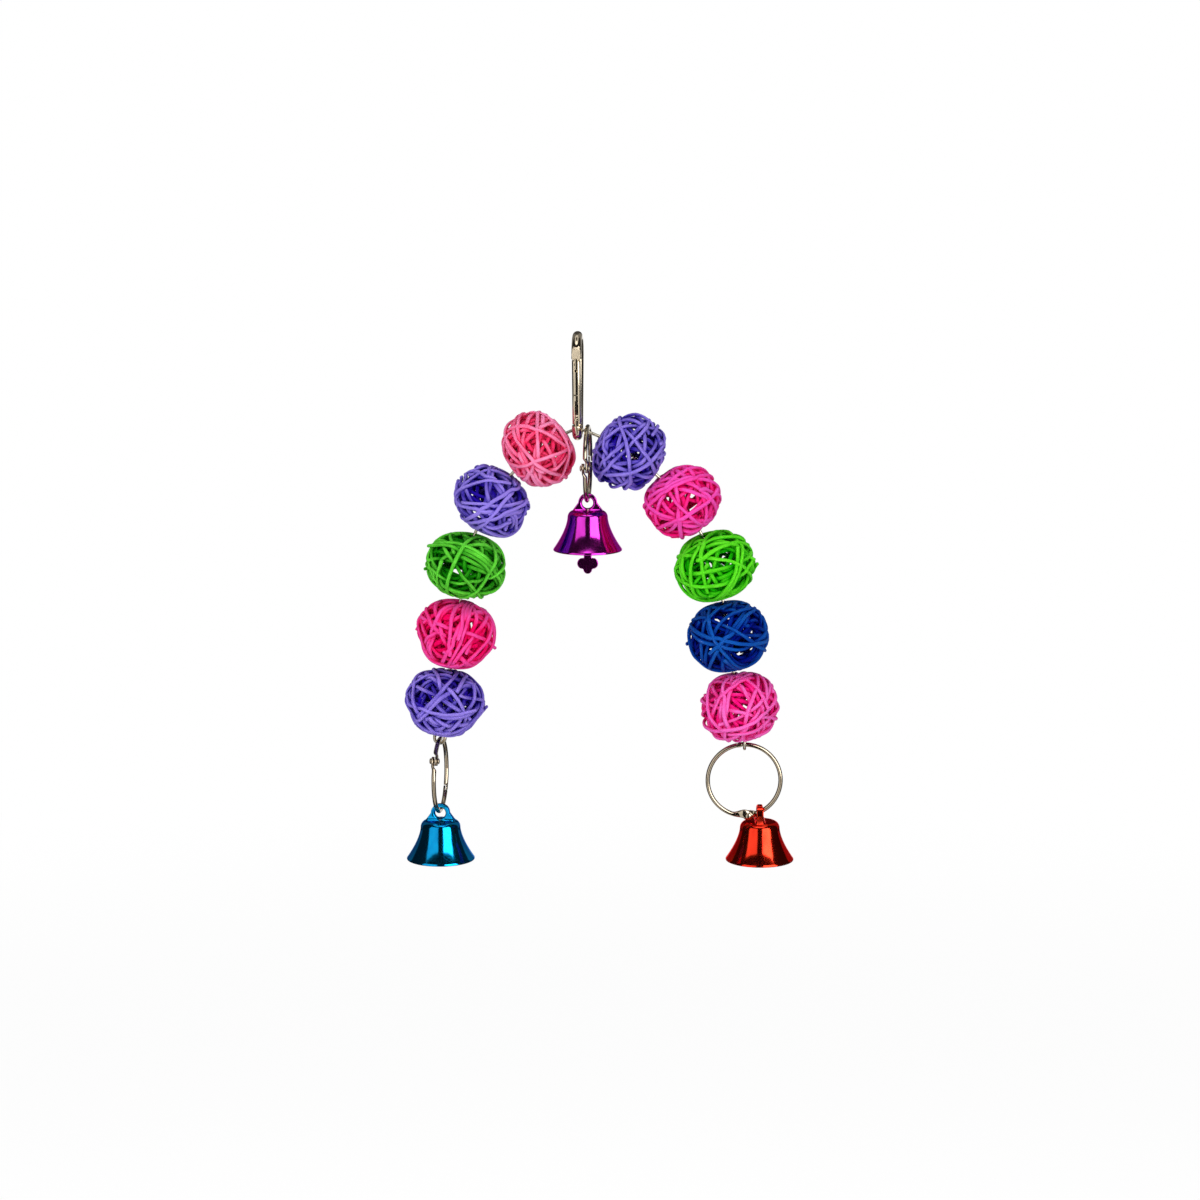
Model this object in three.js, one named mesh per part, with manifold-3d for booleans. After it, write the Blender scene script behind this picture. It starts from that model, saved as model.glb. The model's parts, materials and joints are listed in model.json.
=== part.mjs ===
// Bird toy arch: a bent wire carries ten woven vine balls, hangs from a snap hook and ends in two
// hinged rings with bells. A third ring and bell hang under the crown of the arch.
// Millimetres, +Z up, -Y towards the viewer. The origin is the inside top of the snap hook.
import * as THREE from 'three';
import { mergeVertices } from 'three/addons/utils/BufferGeometryUtils.js';
import Module from 'manifold-3d';

const wasm = await Module();
wasm.setup();

const RAD = Math.PI / 180;
const GAP = 0.3;                        // gap left between touching pieces

// Snap hook, hung in the YZ plane and turned a little about its own length.
const HOOK_TURN = -3.5 * RAD;
const HOOK_BAR_R = 2.4;
const HOOK_TOP_R = 9.2;                 // bend radius of the bar's middle line at the top
const HOOK_FOOT_R = 5.2;                // the same at the foot
const GATE_R = 2.15;
const GATE_TOP = 0.5;                   // gate's start below the end of the top bend
const GATE_PIN_Z = -29.8;               // pivot below the end of the top bend
const GATE_FORK_TOP = -20;              // fork slot above the pivot
const FORK_TONGUE = 1.5;                // thickness of the flattened tongue in the fork
const NOSE_TONGUE = 1.3;
const NOSE_TONGUE_LENGTH = 4.6;
const PIN_R = 0.6;
const CATCH_PIN_R = 0.5;
const CATCH_PIN_Y = 1.2;
const SPRING_TURNS = 5;
const SPRING_STEPS = 6;                 // steps in one turn
const SPRING_PITCH = 1.2;
const SPRING_R = 0.8;
const SPRING_WIRE = 0.5;
const PLUNGER_R = 0.75;

// Arch wire: a small bend at the crown, one wide bend on each side, then straight legs to the eyes.
const WIRE_R = 0.75;
const CROWN_Z = -42.2;
const CROWN_BEND_R = 3.4;
const EYE_R = 2.6;                      // middle line of the end eyes
const EYE_TURN = 335 * RAD;
const SIDES = [
  { name: 'left', sign: -1, slope: 24 * RAD, bend: 92, leg: 81 * RAD },
  { name: 'right', sign: 1, slope: 19.5 * RAD, bend: 106, leg: 81 * RAD },
];

// Woven vine balls: one strand led round the wire many times, over and under itself. Room is the bare
// wire ahead of a ball, from the crown or from the ball before it, and is longer where the wire bends.
const BALL_R = 17.3;                    // middle surface at the equator
const WEAVE = 1.02;                     // rise or fall of the strand at a crossing
const STRAND_WIDE = 2.2;
const STRAND_THICK = 1.3;
const TURN_LATITUDE = 68 * RAD;         // where the strand turns back, round the wire's opening
const SEAT_R = 1.9;                     // hook of the strand's first end round the wire, inside the ball
const SEAT_DEPTH = 9.6;                 // how far that end dives from the opening to the hook
const SEAT_DIVE = 4;                    // steps of the dive
const SEAT_STEPS = 8;                   // steps of the dive and the hook
const BALLS = {
  left: [
    { colour: 0xf7719f, room: 5.6, leads: 8, bights: 7, hand: 1, squash: 0.9, spin: 10 },
    { colour: 0x7459d4, room: 2.6, leads: 8, bights: 7, hand: -1, squash: 0.88, spin: 35 },
    { colour: 0x2fbf1c, room: 2.5, leads: 6, bights: 7, hand: 1, squash: 0.91, spin: 62 },
    { colour: 0xf52d84, room: 1.1, leads: 8, bights: 7, hand: -1, squash: 0.96, spin: 5 },
    { colour: 0x6a4fd2, room: 0.5, leads: 8, bights: 7, hand: 1, squash: 0.95, spin: 27 },
  ],
  right: [
    { colour: 0x6a52dc, room: 10.9, leads: 8, bights: 7, hand: -1, squash: 0.93, spin: 48 },
    { colour: 0xf02a9a, room: 2.6, leads: 6, bights: 7, hand: 1, squash: 0.92, spin: 20 },
    { colour: 0x55d512, room: 2.5, leads: 8, bights: 7, hand: -1, squash: 0.94, spin: 71 },
    { colour: 0x1645b0, room: 1.3, leads: 6, bights: 7, hand: 1, squash: 0.99, spin: 33 },
    { colour: 0xf563b2, room: 0.6, leads: 8, bights: 7, hand: -1, squash: 0.98, spin: 14 },
  ],
};

// Hinged rings, each of two like halves with a riveted lap hinge and a lapped closure.
const RING_OUTER = 38;
const RING_WIRE_R = 1.1;
const RING_R = RING_OUTER / 2 - RING_WIRE_R;
const HINGE_EYE_R = 2.3;
const HINGE_PLATE = 1.5;                // thickness of one flattened hinge eye
const LAP_ANGLE = 3.5 * RAD;            // overlap of the closure past the middle
const RIVET_R = 0.65;
const RIVET_HEAD_R = 1.45;
const RIVET_HEAD = 0.75;
const CENTRE_RING_X = 4.8;
const CENTRE_RING_TURN = -4 * RAD;
const LEFT_RING_TURN = -7.5 * RAD;
const LEFT_HINGE_ANGLE = 56 * RAD;      // from the top, towards the front
const CENTRE_HINGE_ANGLE = 90 * RAD;
const RIGHT_HINGE_ANGLE = 7 * RAD;      // from the bottom, to the right
const RIGHT_BELL_ANGLE = 26 * RAD;      // from the bottom, to the right
const RING_CLEAR = 0.6;                 // under the last ball

// Bells: a flared shell pressed from sheet, a pinched lug, a staple and a flat clover clapper.
const BELL_RIM_R = 16.75;
const BELL_RIM_EDGE = 0.6;              // upright edge of the rim
const BELL_WALL = 0.9;
const BELL_CROWN_Z = 19.6;
const BELL_CROWN_R = 9.8;
const BELL_CORNER = 2.6;                // rounding from the crown into the side
const BELL_FLARE = 1.42;                // power of the flare from the corner to the rim
const LUG_HOLE_Z = 23.3;
const LUG_HOLE_R = 2.65;
const LUG_R = 4.4;
const LUG_THICK = 1.9;
const LUG_FOOT = 8.2;                   // half width where the lug runs out into the crown
const LUG_FOOT_THICK = 3.4;
const LUG_TOUCH = LUG_HOLE_R - RING_WIRE_R - GAP;
const LUG_TOUCH_SLOPED = 0.8;           // on the right ring, whose wire slopes through the hole
const STAPLE_R = 0.5;
const STAPLE_HALF = 2.0;
const STAPLE_Z = 16.0;
const STAPLE_TOP = 20.4;
const CLAPPER_THICK = 1.1;
const CLAPPER_EYE_R = 2.2;
const CLAPPER_HOLE_R = 1.15;
const CLAPPER_STEM = 3.8;
const CLAPPER_LOBE_R = 2.7;
const CLAPPER_LOBE_X = 2.4;
const CLAPPER_TIP_R = 2.1;
const LONG_CLAPPER_TIP = -11.6;         // under the rim, the centre bell
const SHORT_CLAPPER_TIP = -2;           // the side bells, whose clappers stay out of sight

const NICKEL = { color: 0xb8b2a6, roughness: 0.22, metalness: 1 };
const BELLS = {
  centre: { color: 0xc9148c, roughness: 0.2, metalness: 0.9 },
  left: { color: 0x0b93d6, roughness: 0.2, metalness: 0.9 },
  right: { color: 0xe23a1c, roughness: 0.2, metalness: 0.9 },
};

// A path that is walked through given stations, close together in bends and far apart on straights.
class StationPath extends THREE.Curve {
  constructor(stations) {
    super();
    this.stations = stations;
  }

  getPoint(t) {
    const place = t * (this.stations.length - 1);
    const index = Math.min(Math.floor(place), this.stations.length - 2);
    return this.stations[index].clone().lerp(this.stations[index + 1], place - index);
  }

  getPointAt(u) {
    return this.getPoint(u);
  }

  getTangentAt(u) {
    const index = Math.round(u * (this.stations.length - 1));
    const before = this.stations[Math.max(index - 1, 0)];
    const after = this.stations[Math.min(index + 1, this.stations.length - 1)];
    return after.clone().sub(before).normalize();
  }
}

function solid(geometry) {
  geometry.deleteAttribute('normal');
  geometry.deleteAttribute('uv');
  const merged = mergeVertices(geometry, 1e-4);
  const vertProperties = new Float32Array(merged.attributes.position.array);
  const triVerts = new Uint32Array(merged.index.array);
  return new wasm.Manifold(new wasm.Mesh({ numProp: 3, vertProperties, triVerts }));
}

function geometryOf(manifold) {
  const mesh = manifold.getMesh();
  const geometry = new THREE.BufferGeometry();
  geometry.setAttribute('position', new THREE.BufferAttribute(mesh.vertProperties, 3));
  geometry.setIndex(new THREE.BufferAttribute(mesh.triVerts, 1));
  geometry.computeVertexNormals();
  return geometry;
}

function piece(name, geometry, look) {
  const mesh = new THREE.Mesh(geometry, new THREE.MeshStandardMaterial(look));
  mesh.name = name;
  return mesh;
}

function circleShape(radius, sides) {
  const points = [];
  for (let i = 0; i < sides; i += 1) {
    const angle = (2 * Math.PI * (i + 0.5)) / sides;
    points.push(new THREE.Vector2(radius * Math.cos(angle), radius * Math.sin(angle)));
  }
  return new THREE.Shape(points);
}

function tube(stations, radius, sides) {
  return new THREE.ExtrudeGeometry(circleShape(radius, sides), {
    steps: stations.length - 1,
    bevelEnabled: false,
    extrudePath: new StationPath(stations),
  });
}

function box(x0, x1, y0, y1, z0, z1) {
  const geometry = new THREE.BoxGeometry(x1 - x0, y1 - y0, z1 - z0);
  geometry.translate((x0 + x1) / 2, (y0 + y1) / 2, (z0 + z1) / 2);
  return solid(geometry);
}

// A round bar between two heights on the given axis, through the point (a, b) of the other two axes.
function rod(axis, radius, from, to, a, b, sides) {
  const geometry = new THREE.CylinderGeometry(radius, radius, to - from, sides);
  geometry.translate(0, (from + to) / 2, 0);
  if (axis === 'x') {
    geometry.rotateZ(-Math.PI / 2);
    geometry.translate(0, a, b);
  } else if (axis === 'y') {
    geometry.translate(a, 0, b);
  } else {
    geometry.rotateX(Math.PI / 2);
    geometry.translate(a, b, 0);
  }
  return solid(geometry);
}

// Snap hook. In its own frame the bar lies in the YZ plane, with the gate on the front leg.
const hookFootInside = CROWN_Z - WIRE_R - GAP;
const hookTopZ = -(HOOK_TOP_R - HOOK_BAR_R);
const hookFootZ = hookFootInside + HOOK_FOOT_R - HOOK_BAR_R;
const legLean = Math.asin((HOOK_TOP_R - HOOK_FOOT_R) / (hookTopZ - hookFootZ));
const legLength = (hookTopZ - hookFootZ) * Math.cos(legLean);
const forkShoulder = GATE_PIN_Z - GATE_R - 0.5;
const catchZ = -GATE_TOP - NOSE_TONGUE_LENGTH / 2;
const springTop = GATE_FORK_TOP + SPRING_TURNS * SPRING_PITCH + SPRING_WIRE;

function hookStations() {
  const stations = [];
  const lay = (radius, middle, from, to, steps) => {
    for (let i = 0; i <= steps; i += 1) {
      const angle = from + ((to - from) * i) / steps;
      const y = radius * Math.cos(angle);
      const z = middle + radius * Math.sin(angle);
      stations.push(new THREE.Vector3(0, y, z));
    }
  };
  lay(HOOK_TOP_R, hookTopZ, Math.PI + legLean, -legLean, 16);
  lay(HOOK_FOOT_R, hookFootZ, -legLean, -Math.PI + legLean, 14);
  const foot = stations[stations.length - 1];
  const rise = legLength + forkShoulder;
  const stub = new THREE.Vector3(0, -Math.sin(legLean) * rise, Math.cos(legLean) * rise);
  stations.push(foot.clone().add(stub));
  return stations;
}

const gateFrame = new THREE.Object3D();
gateFrame.position.set(0, -HOOK_TOP_R * Math.cos(legLean), hookTopZ - HOOK_TOP_R * Math.sin(legLean));
gateFrame.rotation.x = legLean;
gateFrame.updateMatrix();

function inGateFrame(manifold) {
  const geometry = geometryOf(manifold);
  geometry.applyMatrix4(gateFrame.matrix);
  return solid(geometry);
}

function hookBody() {
  const bar = solid(tube(hookStations(), HOOK_BAR_R, 12));
  const half = FORK_TONGUE / 2;
  const tongue = box(-half, half, -GATE_R, GATE_R, forkShoulder - 0.6, GATE_PIN_Z)
    .add(rod('x', GATE_R, -half, half, 0, GATE_PIN_Z, 20))
    .subtract(rod('x', PIN_R + GAP, -2, 2, 0, GATE_PIN_Z, 14));
  const noseHalf = NOSE_TONGUE / 2;
  const nose = box(-noseHalf, noseHalf, -GATE_R, 0.2, -GATE_TOP - NOSE_TONGUE_LENGTH, 0.6);
  return geometryOf(bar.add(inGateFrame(tongue)).add(inGateFrame(nose)));
}

function hookGate() {
  const half = FORK_TONGUE / 2 + GAP;
  const noseHalf = NOSE_TONGUE / 2 + GAP;
  const springBore = SPRING_R + SPRING_WIRE / 2 + GAP;
  const length = box(-3, 3, -3, 3, GATE_PIN_Z, 0).add(rod('x', GATE_R, -3, 3, 0, GATE_PIN_Z, 20));
  const gate = rod('z', GATE_R, GATE_PIN_Z - GATE_R, -GATE_TOP, 0, 0, 20)
    .intersect(length)
    .subtract(box(-half, half, -3, 3, GATE_PIN_Z - 3, GATE_FORK_TOP))
    .subtract(box(-noseHalf, noseHalf, -3, 3, -GATE_TOP - NOSE_TONGUE_LENGTH - GAP - 0.4, 0))
    .subtract(rod('x', PIN_R + GAP, -3, 3, 0, GATE_PIN_Z, 14))
    .subtract(rod('x', CATCH_PIN_R + GAP, -3, 3, CATCH_PIN_Y, catchZ, 12))
    .subtract(rod('z', springBore, GATE_FORK_TOP - 0.2, springTop + GAP, 0, 0, 14));
  return geometryOf(gate);
}

function pinGeometry(radius, half, y, z) {
  return geometryOf(rod('x', radius, -half, half, y, z, 14));
}

// A wound strand joined ring by ring, with its two ends closed. Each ring is given by its middle, the
// outward direction and the half sizes of a four-cornered section.
function strandGeometry(middles, outwards, halfWide, halfThick) {
  const positions = [];
  const index = [];
  const count = middles.length;
  for (let i = 0; i < count; i += 1) {
    const before = middles[Math.max(i - 1, 0)];
    const after = middles[Math.min(i + 1, count - 1)];
    const along = after.clone().sub(before).normalize();
    const side = along.clone().cross(outwards[i]).normalize();
    const out = side.clone().cross(along);
    const corners = [
      middles[i].clone().addScaledVector(out, halfThick),
      middles[i].clone().addScaledVector(side, -halfWide),
      middles[i].clone().addScaledVector(out, -halfThick),
      middles[i].clone().addScaledVector(side, halfWide),
    ];
    corners.forEach((corner) => positions.push(corner.x, corner.y, corner.z));
  }
  for (let i = 0; i < count - 1; i += 1) {
    for (let k = 0; k < 4; k += 1) {
      const a = 4 * i + k;
      const b = 4 * i + ((k + 1) % 4);
      index.push(a, a + 4, b, b, a + 4, b + 4);
    }
  }
  const last = 4 * (count - 1);
  index.push(0, 1, 2, 0, 2, 3);
  index.push(last, last + 2, last + 1, last, last + 3, last + 2);
  const geometry = new THREE.BufferGeometry();
  geometry.setAttribute('position', new THREE.Float32BufferAttribute(positions, 3));
  geometry.setIndex(index);
  return geometry;
}

// The least distance between points of a strand that are not neighbours along it, less its thickness.
function leastGap(middles, thickness, neighbours) {
  let least = Infinity;
  for (let i = 0; i < middles.length; i += 1) {
    for (let j = i + neighbours; j < middles.length; j += 1) {
      least = Math.min(least, middles[i].distanceTo(middles[j]));
    }
  }
  return least - thickness;
}

function gateSpring() {
  const middles = [];
  const outwards = [];
  const steps = SPRING_TURNS * SPRING_STEPS;
  for (let i = 0; i <= steps; i += 1) {
    const angle = (2 * Math.PI * i) / SPRING_STEPS;
    const out = new THREE.Vector3(Math.cos(angle), Math.sin(angle), 0);
    const rise = GATE_FORK_TOP + SPRING_WIRE / 2 + (SPRING_PITCH * i) / SPRING_STEPS;
    middles.push(out.clone().multiplyScalar(SPRING_R).setZ(rise));
    outwards.push(out);
  }
  const least = leastGap(middles, SPRING_WIRE, SPRING_STEPS);
  console.log('gate_spring', 'least gap to itself:', least.toFixed(2), 'mm');
  return strandGeometry(middles, outwards, SPRING_WIRE / 2, SPRING_WIRE / 2);
}

// The strand of a ball keeps to the latitude lines of an even weave: at every step it crosses itself,
// over and under in turn, except where it turns back beside the opening for the wire. Its first end
// dives into the ball from above and hooks round the wire, which seats the ball there. The ball's own
// Z axis points down the wire.
function ballGeometry(ball, name) {
  const { leads, bights, squash } = ball;
  const turnR = BALL_R * Math.cos(TURN_LATITUDE);
  const turnZ = BALL_R * Math.sin(TURN_LATITUDE) * squash;
  const middles = [];
  const outwards = [];
  for (let k = SEAT_STEPS; k > 0; k -= 1) {
    const dive = Math.min(k / SEAT_DIVE, 1);
    const around = ball.hand * (ball.spin * RAD - (Math.PI * k) / 4);
    const out = new THREE.Vector3(Math.cos(around), Math.sin(around), 0);
    const radius = turnR + (SEAT_R - turnR) * dive;
    const drop = SEAT_DEPTH * dive + Math.max(k - SEAT_DIVE, 0) - turnZ;
    middles.push(out.clone().multiplyScalar(radius).setZ(drop));
    outwards.push(out);
  }
  for (let n = 0; n < 2 * leads * bights - 1; n += 1) {
    const around = ball.hand * ((Math.PI * n) / bights + ball.spin * RAD);
    const swing = (Math.PI * n) / leads;
    const latitude = -Math.atan(Math.tan(TURN_LATITUDE) * Math.cos(swing));
    const over = n % leads === 0 ? 0 : (n % 2 ? -1 : 1) * Math.sign(Math.sin(swing));
    const out = new THREE.Vector3(
      Math.cos(latitude) * Math.cos(around),
      Math.cos(latitude) * Math.sin(around),
      Math.sin(latitude),
    );
    const middle = out.clone().multiplyScalar(BALL_R + WEAVE * over);
    middle.z *= squash;
    middles.push(middle);
    outwards.push(out);
  }
  console.log(name, 'least gap to itself:', leastGap(middles, STRAND_THICK, 2).toFixed(2), 'mm');
  return strandGeometry(middles, outwards, STRAND_WIDE / 2, STRAND_THICK / 2);
}

function ballHalfHeight(ball) {
  const turn = BALL_R * Math.sin(TURN_LATITUDE);
  return ball.squash * (turn + WEAVE) + STRAND_THICK / 2;
}

// How far along the wire from the crown each ball of a side has its middle.
function ballDistances(side) {
  let end = 0;
  return BALLS[side.name].map((ball) => {
    const half = ballHalfHeight(ball);
    const middle = end + ball.room + half;
    end = middle + half;
    return middle;
  });
}

// The wire's route on one side of the crown: distance along it gives the place and the slope.
function routeAt(side, distance) {
  const crownLength = CROWN_BEND_R * side.slope;
  const bendLength = side.bend * (side.leg - side.slope);
  const crown = Math.min(distance, crownLength) / CROWN_BEND_R;
  const bend = Math.min(Math.max(distance - crownLength, 0), bendLength) / side.bend;
  const straight = Math.max(distance - crownLength - bendLength, 0);
  const slope = crown + bend;
  let x = CROWN_BEND_R * Math.sin(crown);
  let z = -CROWN_BEND_R * (1 - Math.cos(crown));
  x += side.bend * (Math.sin(slope) - Math.sin(crown)) + straight * Math.cos(side.leg);
  z -= side.bend * (Math.cos(crown) - Math.cos(slope)) + straight * Math.sin(side.leg);
  return { place: new THREE.Vector3(side.sign * x, 0, CROWN_Z + z), slope };
}

// The last ball of a side rests above its eye; the ring's top passes through the eye.
function sideEnd(side) {
  const lastBall = BALLS[side.name].at(-1);
  const distance = ballDistances(side).at(-1);
  const { place, slope } = routeAt(side, distance);
  const axis = new THREE.Vector3(side.sign * Math.cos(slope), 0, -Math.sin(slope));
  const foot = place.clone().addScaledVector(axis, ballHalfHeight(lastBall));
  const ringTop = new THREE.Vector3(foot.x, 0, foot.z - RING_CLEAR - RING_WIRE_R);
  const eye = ringTop.clone();
  eye.z += EYE_R - WIRE_R - GAP - RING_WIRE_R;
  return { ringTop, eye, distance };
}

// Stations of one side of the wire, from the crown to the end of its eye. The left eye lies in the
// plane of the arch and the right eye across it.
function sideStations(side) {
  const { eye, distance } = sideEnd(side);
  const bendEnd = CROWN_BEND_R * side.slope + side.bend * (side.leg - side.slope);
  const stops = [0.5, 1];
  for (let d = 2; d < bendEnd - 3; d += 8) {
    stops.push(d);
  }
  stops.push(bendEnd, (bendEnd + distance) / 2, distance);
  const stations = stops.map((d) => routeAt(side, d).place);
  const across = side.name === 'left' ? new THREE.Vector3(-1, 0, 0) : new THREE.Vector3(0, -1, 0);
  const tail = stations[stations.length - 1];
  const start = eye.clone().addScaledVector(across, EYE_R);
  for (let i = 1; i <= 5; i += 1) {
    const t = i / 6;
    const ease = t * t * (3 - 2 * t);
    const point = tail.clone().lerp(start, ease);
    point.z = tail.z + (start.z - tail.z) * t;
    stations.push(point);
  }
  const steps = 13;
  for (let i = 0; i <= steps; i += 1) {
    const angle = (EYE_TURN * i) / steps;
    const point = eye.clone().addScaledVector(across, EYE_R * Math.cos(angle));
    point.z -= EYE_R * Math.sin(angle);
    stations.push(point);
  }
  return stations;
}

function wireGeometry() {
  const left = sideStations(SIDES[0]).reverse();
  const crown = new THREE.Vector3(0, 0, CROWN_Z);
  return tube([...left, crown, ...sideStations(SIDES[1])], WIRE_R, 8);
}

// One half of a ring, in the XY plane: hinge at +X, closure at -X, the half itself at +Y.
function ringHalf() {
  const stations = [];
  const steps = 16;
  for (let i = 0; i <= steps; i += 1) {
    const angle = ((Math.PI + LAP_ANGLE) * i) / steps;
    stations.push(new THREE.Vector3(RING_R * Math.cos(angle), RING_R * Math.sin(angle), 0));
  }
  const mid = GAP / 2;
  const lapDepth = RING_R * Math.sin(LAP_ANGLE) + GAP;
  const half = solid(tube(stations, RING_WIRE_R, 8))
    .subtract(rod('z', HINGE_EYE_R + GAP, -mid, 3, RING_R, 0, 20))
    .subtract(box(-RING_R - 3, -RING_R + 3, -3, lapDepth, -mid, 3))
    .add(rod('z', HINGE_EYE_R, -mid - HINGE_PLATE, -mid, RING_R, 0, 20))
    .subtract(rod('z', RIVET_R + GAP, -3, 3, RING_R, 0, 14));
  return geometryOf(half);
}

function rivetGeometry() {
  const grip = GAP / 2 + HINGE_PLATE + GAP / 2;
  const top = grip + RIVET_HEAD;
  const profile = [
    [0, -top], [RIVET_HEAD_R * 0.7, -top + 0.12], [RIVET_HEAD_R, -grip - 0.25], [RIVET_HEAD_R, -grip],
    [RIVET_R, -grip], [RIVET_R, grip],
    [RIVET_HEAD_R, grip], [RIVET_HEAD_R, grip + 0.25], [RIVET_HEAD_R * 0.7, top - 0.12], [0, top],
  ].map(([r, z]) => new THREE.Vector2(r, z));
  const geometry = new THREE.LatheGeometry(profile, 12);
  geometry.rotateX(Math.PI / 2);
  geometry.translate(RING_R, 0, 0);
  return geometryOf(solid(geometry));
}

// A ring's group has its middle at the origin of the group. The first half hangs, the second opens.
function ringGroup(name) {
  const group = new THREE.Group();
  group.name = `ring_${name}`;
  const opening = new THREE.Group();
  opening.rotation.x = Math.PI;
  opening.add(piece(`ring_${name}_opening_half`, ringHalf(), NICKEL));
  group.add(piece(`ring_${name}_hanging_half`, ringHalf(), NICKEL));
  group.add(opening);
  group.add(piece(`ring_${name}_rivet`, rivetGeometry(), NICKEL));
  return group;
}

// The bell stands on its rim at the origin of its own frame; the lug's hole runs along Y.
function bellShell() {
  const sideTop = BELL_CROWN_Z - BELL_CORNER;
  const outer = [[0, BELL_CROWN_Z]];
  for (const angle of [75, 45, 20, 0].map((degrees) => degrees * RAD)) {
    const r = BELL_CROWN_R - BELL_CORNER * (1 - Math.cos(angle));
    outer.push([r, sideTop + BELL_CORNER * Math.sin(angle)]);
  }
  for (const share of [0.25, 0.5, 0.7, 0.87, 1]) {
    const z = sideTop + (BELL_RIM_EDGE - sideTop) * share;
    outer.push([BELL_CROWN_R + (BELL_RIM_R - BELL_CROWN_R) * share ** BELL_FLARE, z]);
  }
  const inner = outer.slice(1, -1).reverse().map(([r, z]) => [r - BELL_WALL, z - BELL_WALL * 0.45]);
  const profile = [...outer, [BELL_RIM_R, 0], [BELL_RIM_R - BELL_WALL, 0], ...inner];
  profile.push([0, BELL_CROWN_Z - BELL_WALL]);
  const points = profile.reverse().map(([r, z]) => new THREE.Vector2(r, z));
  const shell = new THREE.LatheGeometry(points, 18);
  shell.rotateX(Math.PI / 2);
  const seat = BELL_CROWN_Z - 0.5;
  const face = new THREE.Shape();
  face.moveTo(-LUG_FOOT, seat);
  face.lineTo(LUG_FOOT, seat);
  face.quadraticCurveTo(LUG_R + 0.9, LUG_HOLE_Z - 2.6, LUG_R, LUG_HOLE_Z);
  face.absarc(0, LUG_HOLE_Z, LUG_R, 0, Math.PI, false);
  face.quadraticCurveTo(-LUG_R - 0.9, LUG_HOLE_Z - 2.6, -LUG_FOOT, seat);
  const tab = new THREE.ExtrudeGeometry(face, { depth: 12, bevelEnabled: false, curveSegments: 5 });
  tab.rotateX(Math.PI / 2);
  tab.translate(0, 6, 0);
  const edge = new THREE.Shape();
  edge.moveTo(-LUG_FOOT_THICK, seat - 1);
  edge.lineTo(LUG_FOOT_THICK, seat - 1);
  edge.lineTo(LUG_FOOT_THICK, seat + 0.2);
  edge.quadraticCurveTo(LUG_THICK / 2, seat + 0.8, LUG_THICK / 2, seat + 3);
  edge.lineTo(LUG_THICK / 2, LUG_HOLE_Z + LUG_R + 1);
  edge.lineTo(-LUG_THICK / 2, LUG_HOLE_Z + LUG_R + 1);
  edge.lineTo(-LUG_THICK / 2, seat + 3);
  edge.quadraticCurveTo(-LUG_THICK / 2, seat + 0.8, -LUG_FOOT_THICK, seat + 0.2);
  const pinch = new THREE.ExtrudeGeometry(edge, { depth: 24, bevelEnabled: false, curveSegments: 3 });
  pinch.rotateX(Math.PI / 2);
  pinch.rotateZ(Math.PI / 2);
  pinch.translate(-12, 0, 0);
  const socket = STAPLE_R + GAP;
  const bell = solid(shell)
    .add(solid(tab).intersect(solid(pinch)))
    .subtract(rod('y', LUG_HOLE_R, -6, 6, 0, LUG_HOLE_Z, 14))
    .subtract(rod('z', socket, 0, STAPLE_TOP + GAP, 0, STAPLE_HALF, 8))
    .subtract(rod('z', socket, 0, STAPLE_TOP + GAP, 0, -STAPLE_HALF, 8));
  return geometryOf(bell);
}

function stapleGeometry() {
  const bend = 1;
  const stations = [new THREE.Vector3(0, -STAPLE_HALF, STAPLE_TOP)];
  for (const [middle, from] of [[-STAPLE_HALF + bend, Math.PI], [STAPLE_HALF - bend, 1.5 * Math.PI]]) {
    for (let i = 0; i <= 4; i += 1) {
      const angle = from + (Math.PI / 2) * (i / 4);
      const y = middle + bend * Math.cos(angle);
      stations.push(new THREE.Vector3(0, y, STAPLE_Z + bend + bend * Math.sin(angle)));
    }
  }
  stations.push(new THREE.Vector3(0, STAPLE_HALF, STAPLE_TOP));
  return tube(stations, STAPLE_R, 6);
}

function clapperGeometry(tip) {
  const half = CLAPPER_THICK / 2;
  const eyeZ = STAPLE_Z - (CLAPPER_HOLE_R - STAPLE_R - GAP);
  const lobeZ = tip + 5.1;
  const tipZ = tip + CLAPPER_TIP_R;
  const stem = CLAPPER_STEM / 2;
  const clapper = box(-stem, stem, -half, half, tipZ, eyeZ)
    .add(rod('y', CLAPPER_EYE_R, -half, half, 0, eyeZ, 16))
    .add(rod('y', CLAPPER_LOBE_R, -half, half, -CLAPPER_LOBE_X, lobeZ, 16))
    .add(rod('y', CLAPPER_LOBE_R, -half, half, CLAPPER_LOBE_X, lobeZ, 16))
    .add(rod('y', CLAPPER_TIP_R, -half, half, 0, tipZ, 14))
    .subtract(rod('y', CLAPPER_HOLE_R, -2, 2, 0, eyeZ, 12));
  return geometryOf(clapper);
}

function bellGroup(name, tip) {
  const group = new THREE.Group();
  group.name = `bell_${name}`;
  group.add(piece(`bell_${name}_shell`, bellShell(), BELLS[name]));
  group.add(piece(`bell_${name}_staple`, stapleGeometry(), NICKEL));
  group.add(piece(`bell_${name}_clapper`, clapperGeometry(tip), BELLS[name]));
  return group;
}

// Where a bell's rim stands when its lug hangs on a ring's wire at the given point.
function hangBell(group, point, touch) {
  group.position.set(point.x, point.y, point.z - touch - LUG_HOLE_Z);
}

const toy = new THREE.Group();
toy.name = 'bird_toy_arch';

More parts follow.
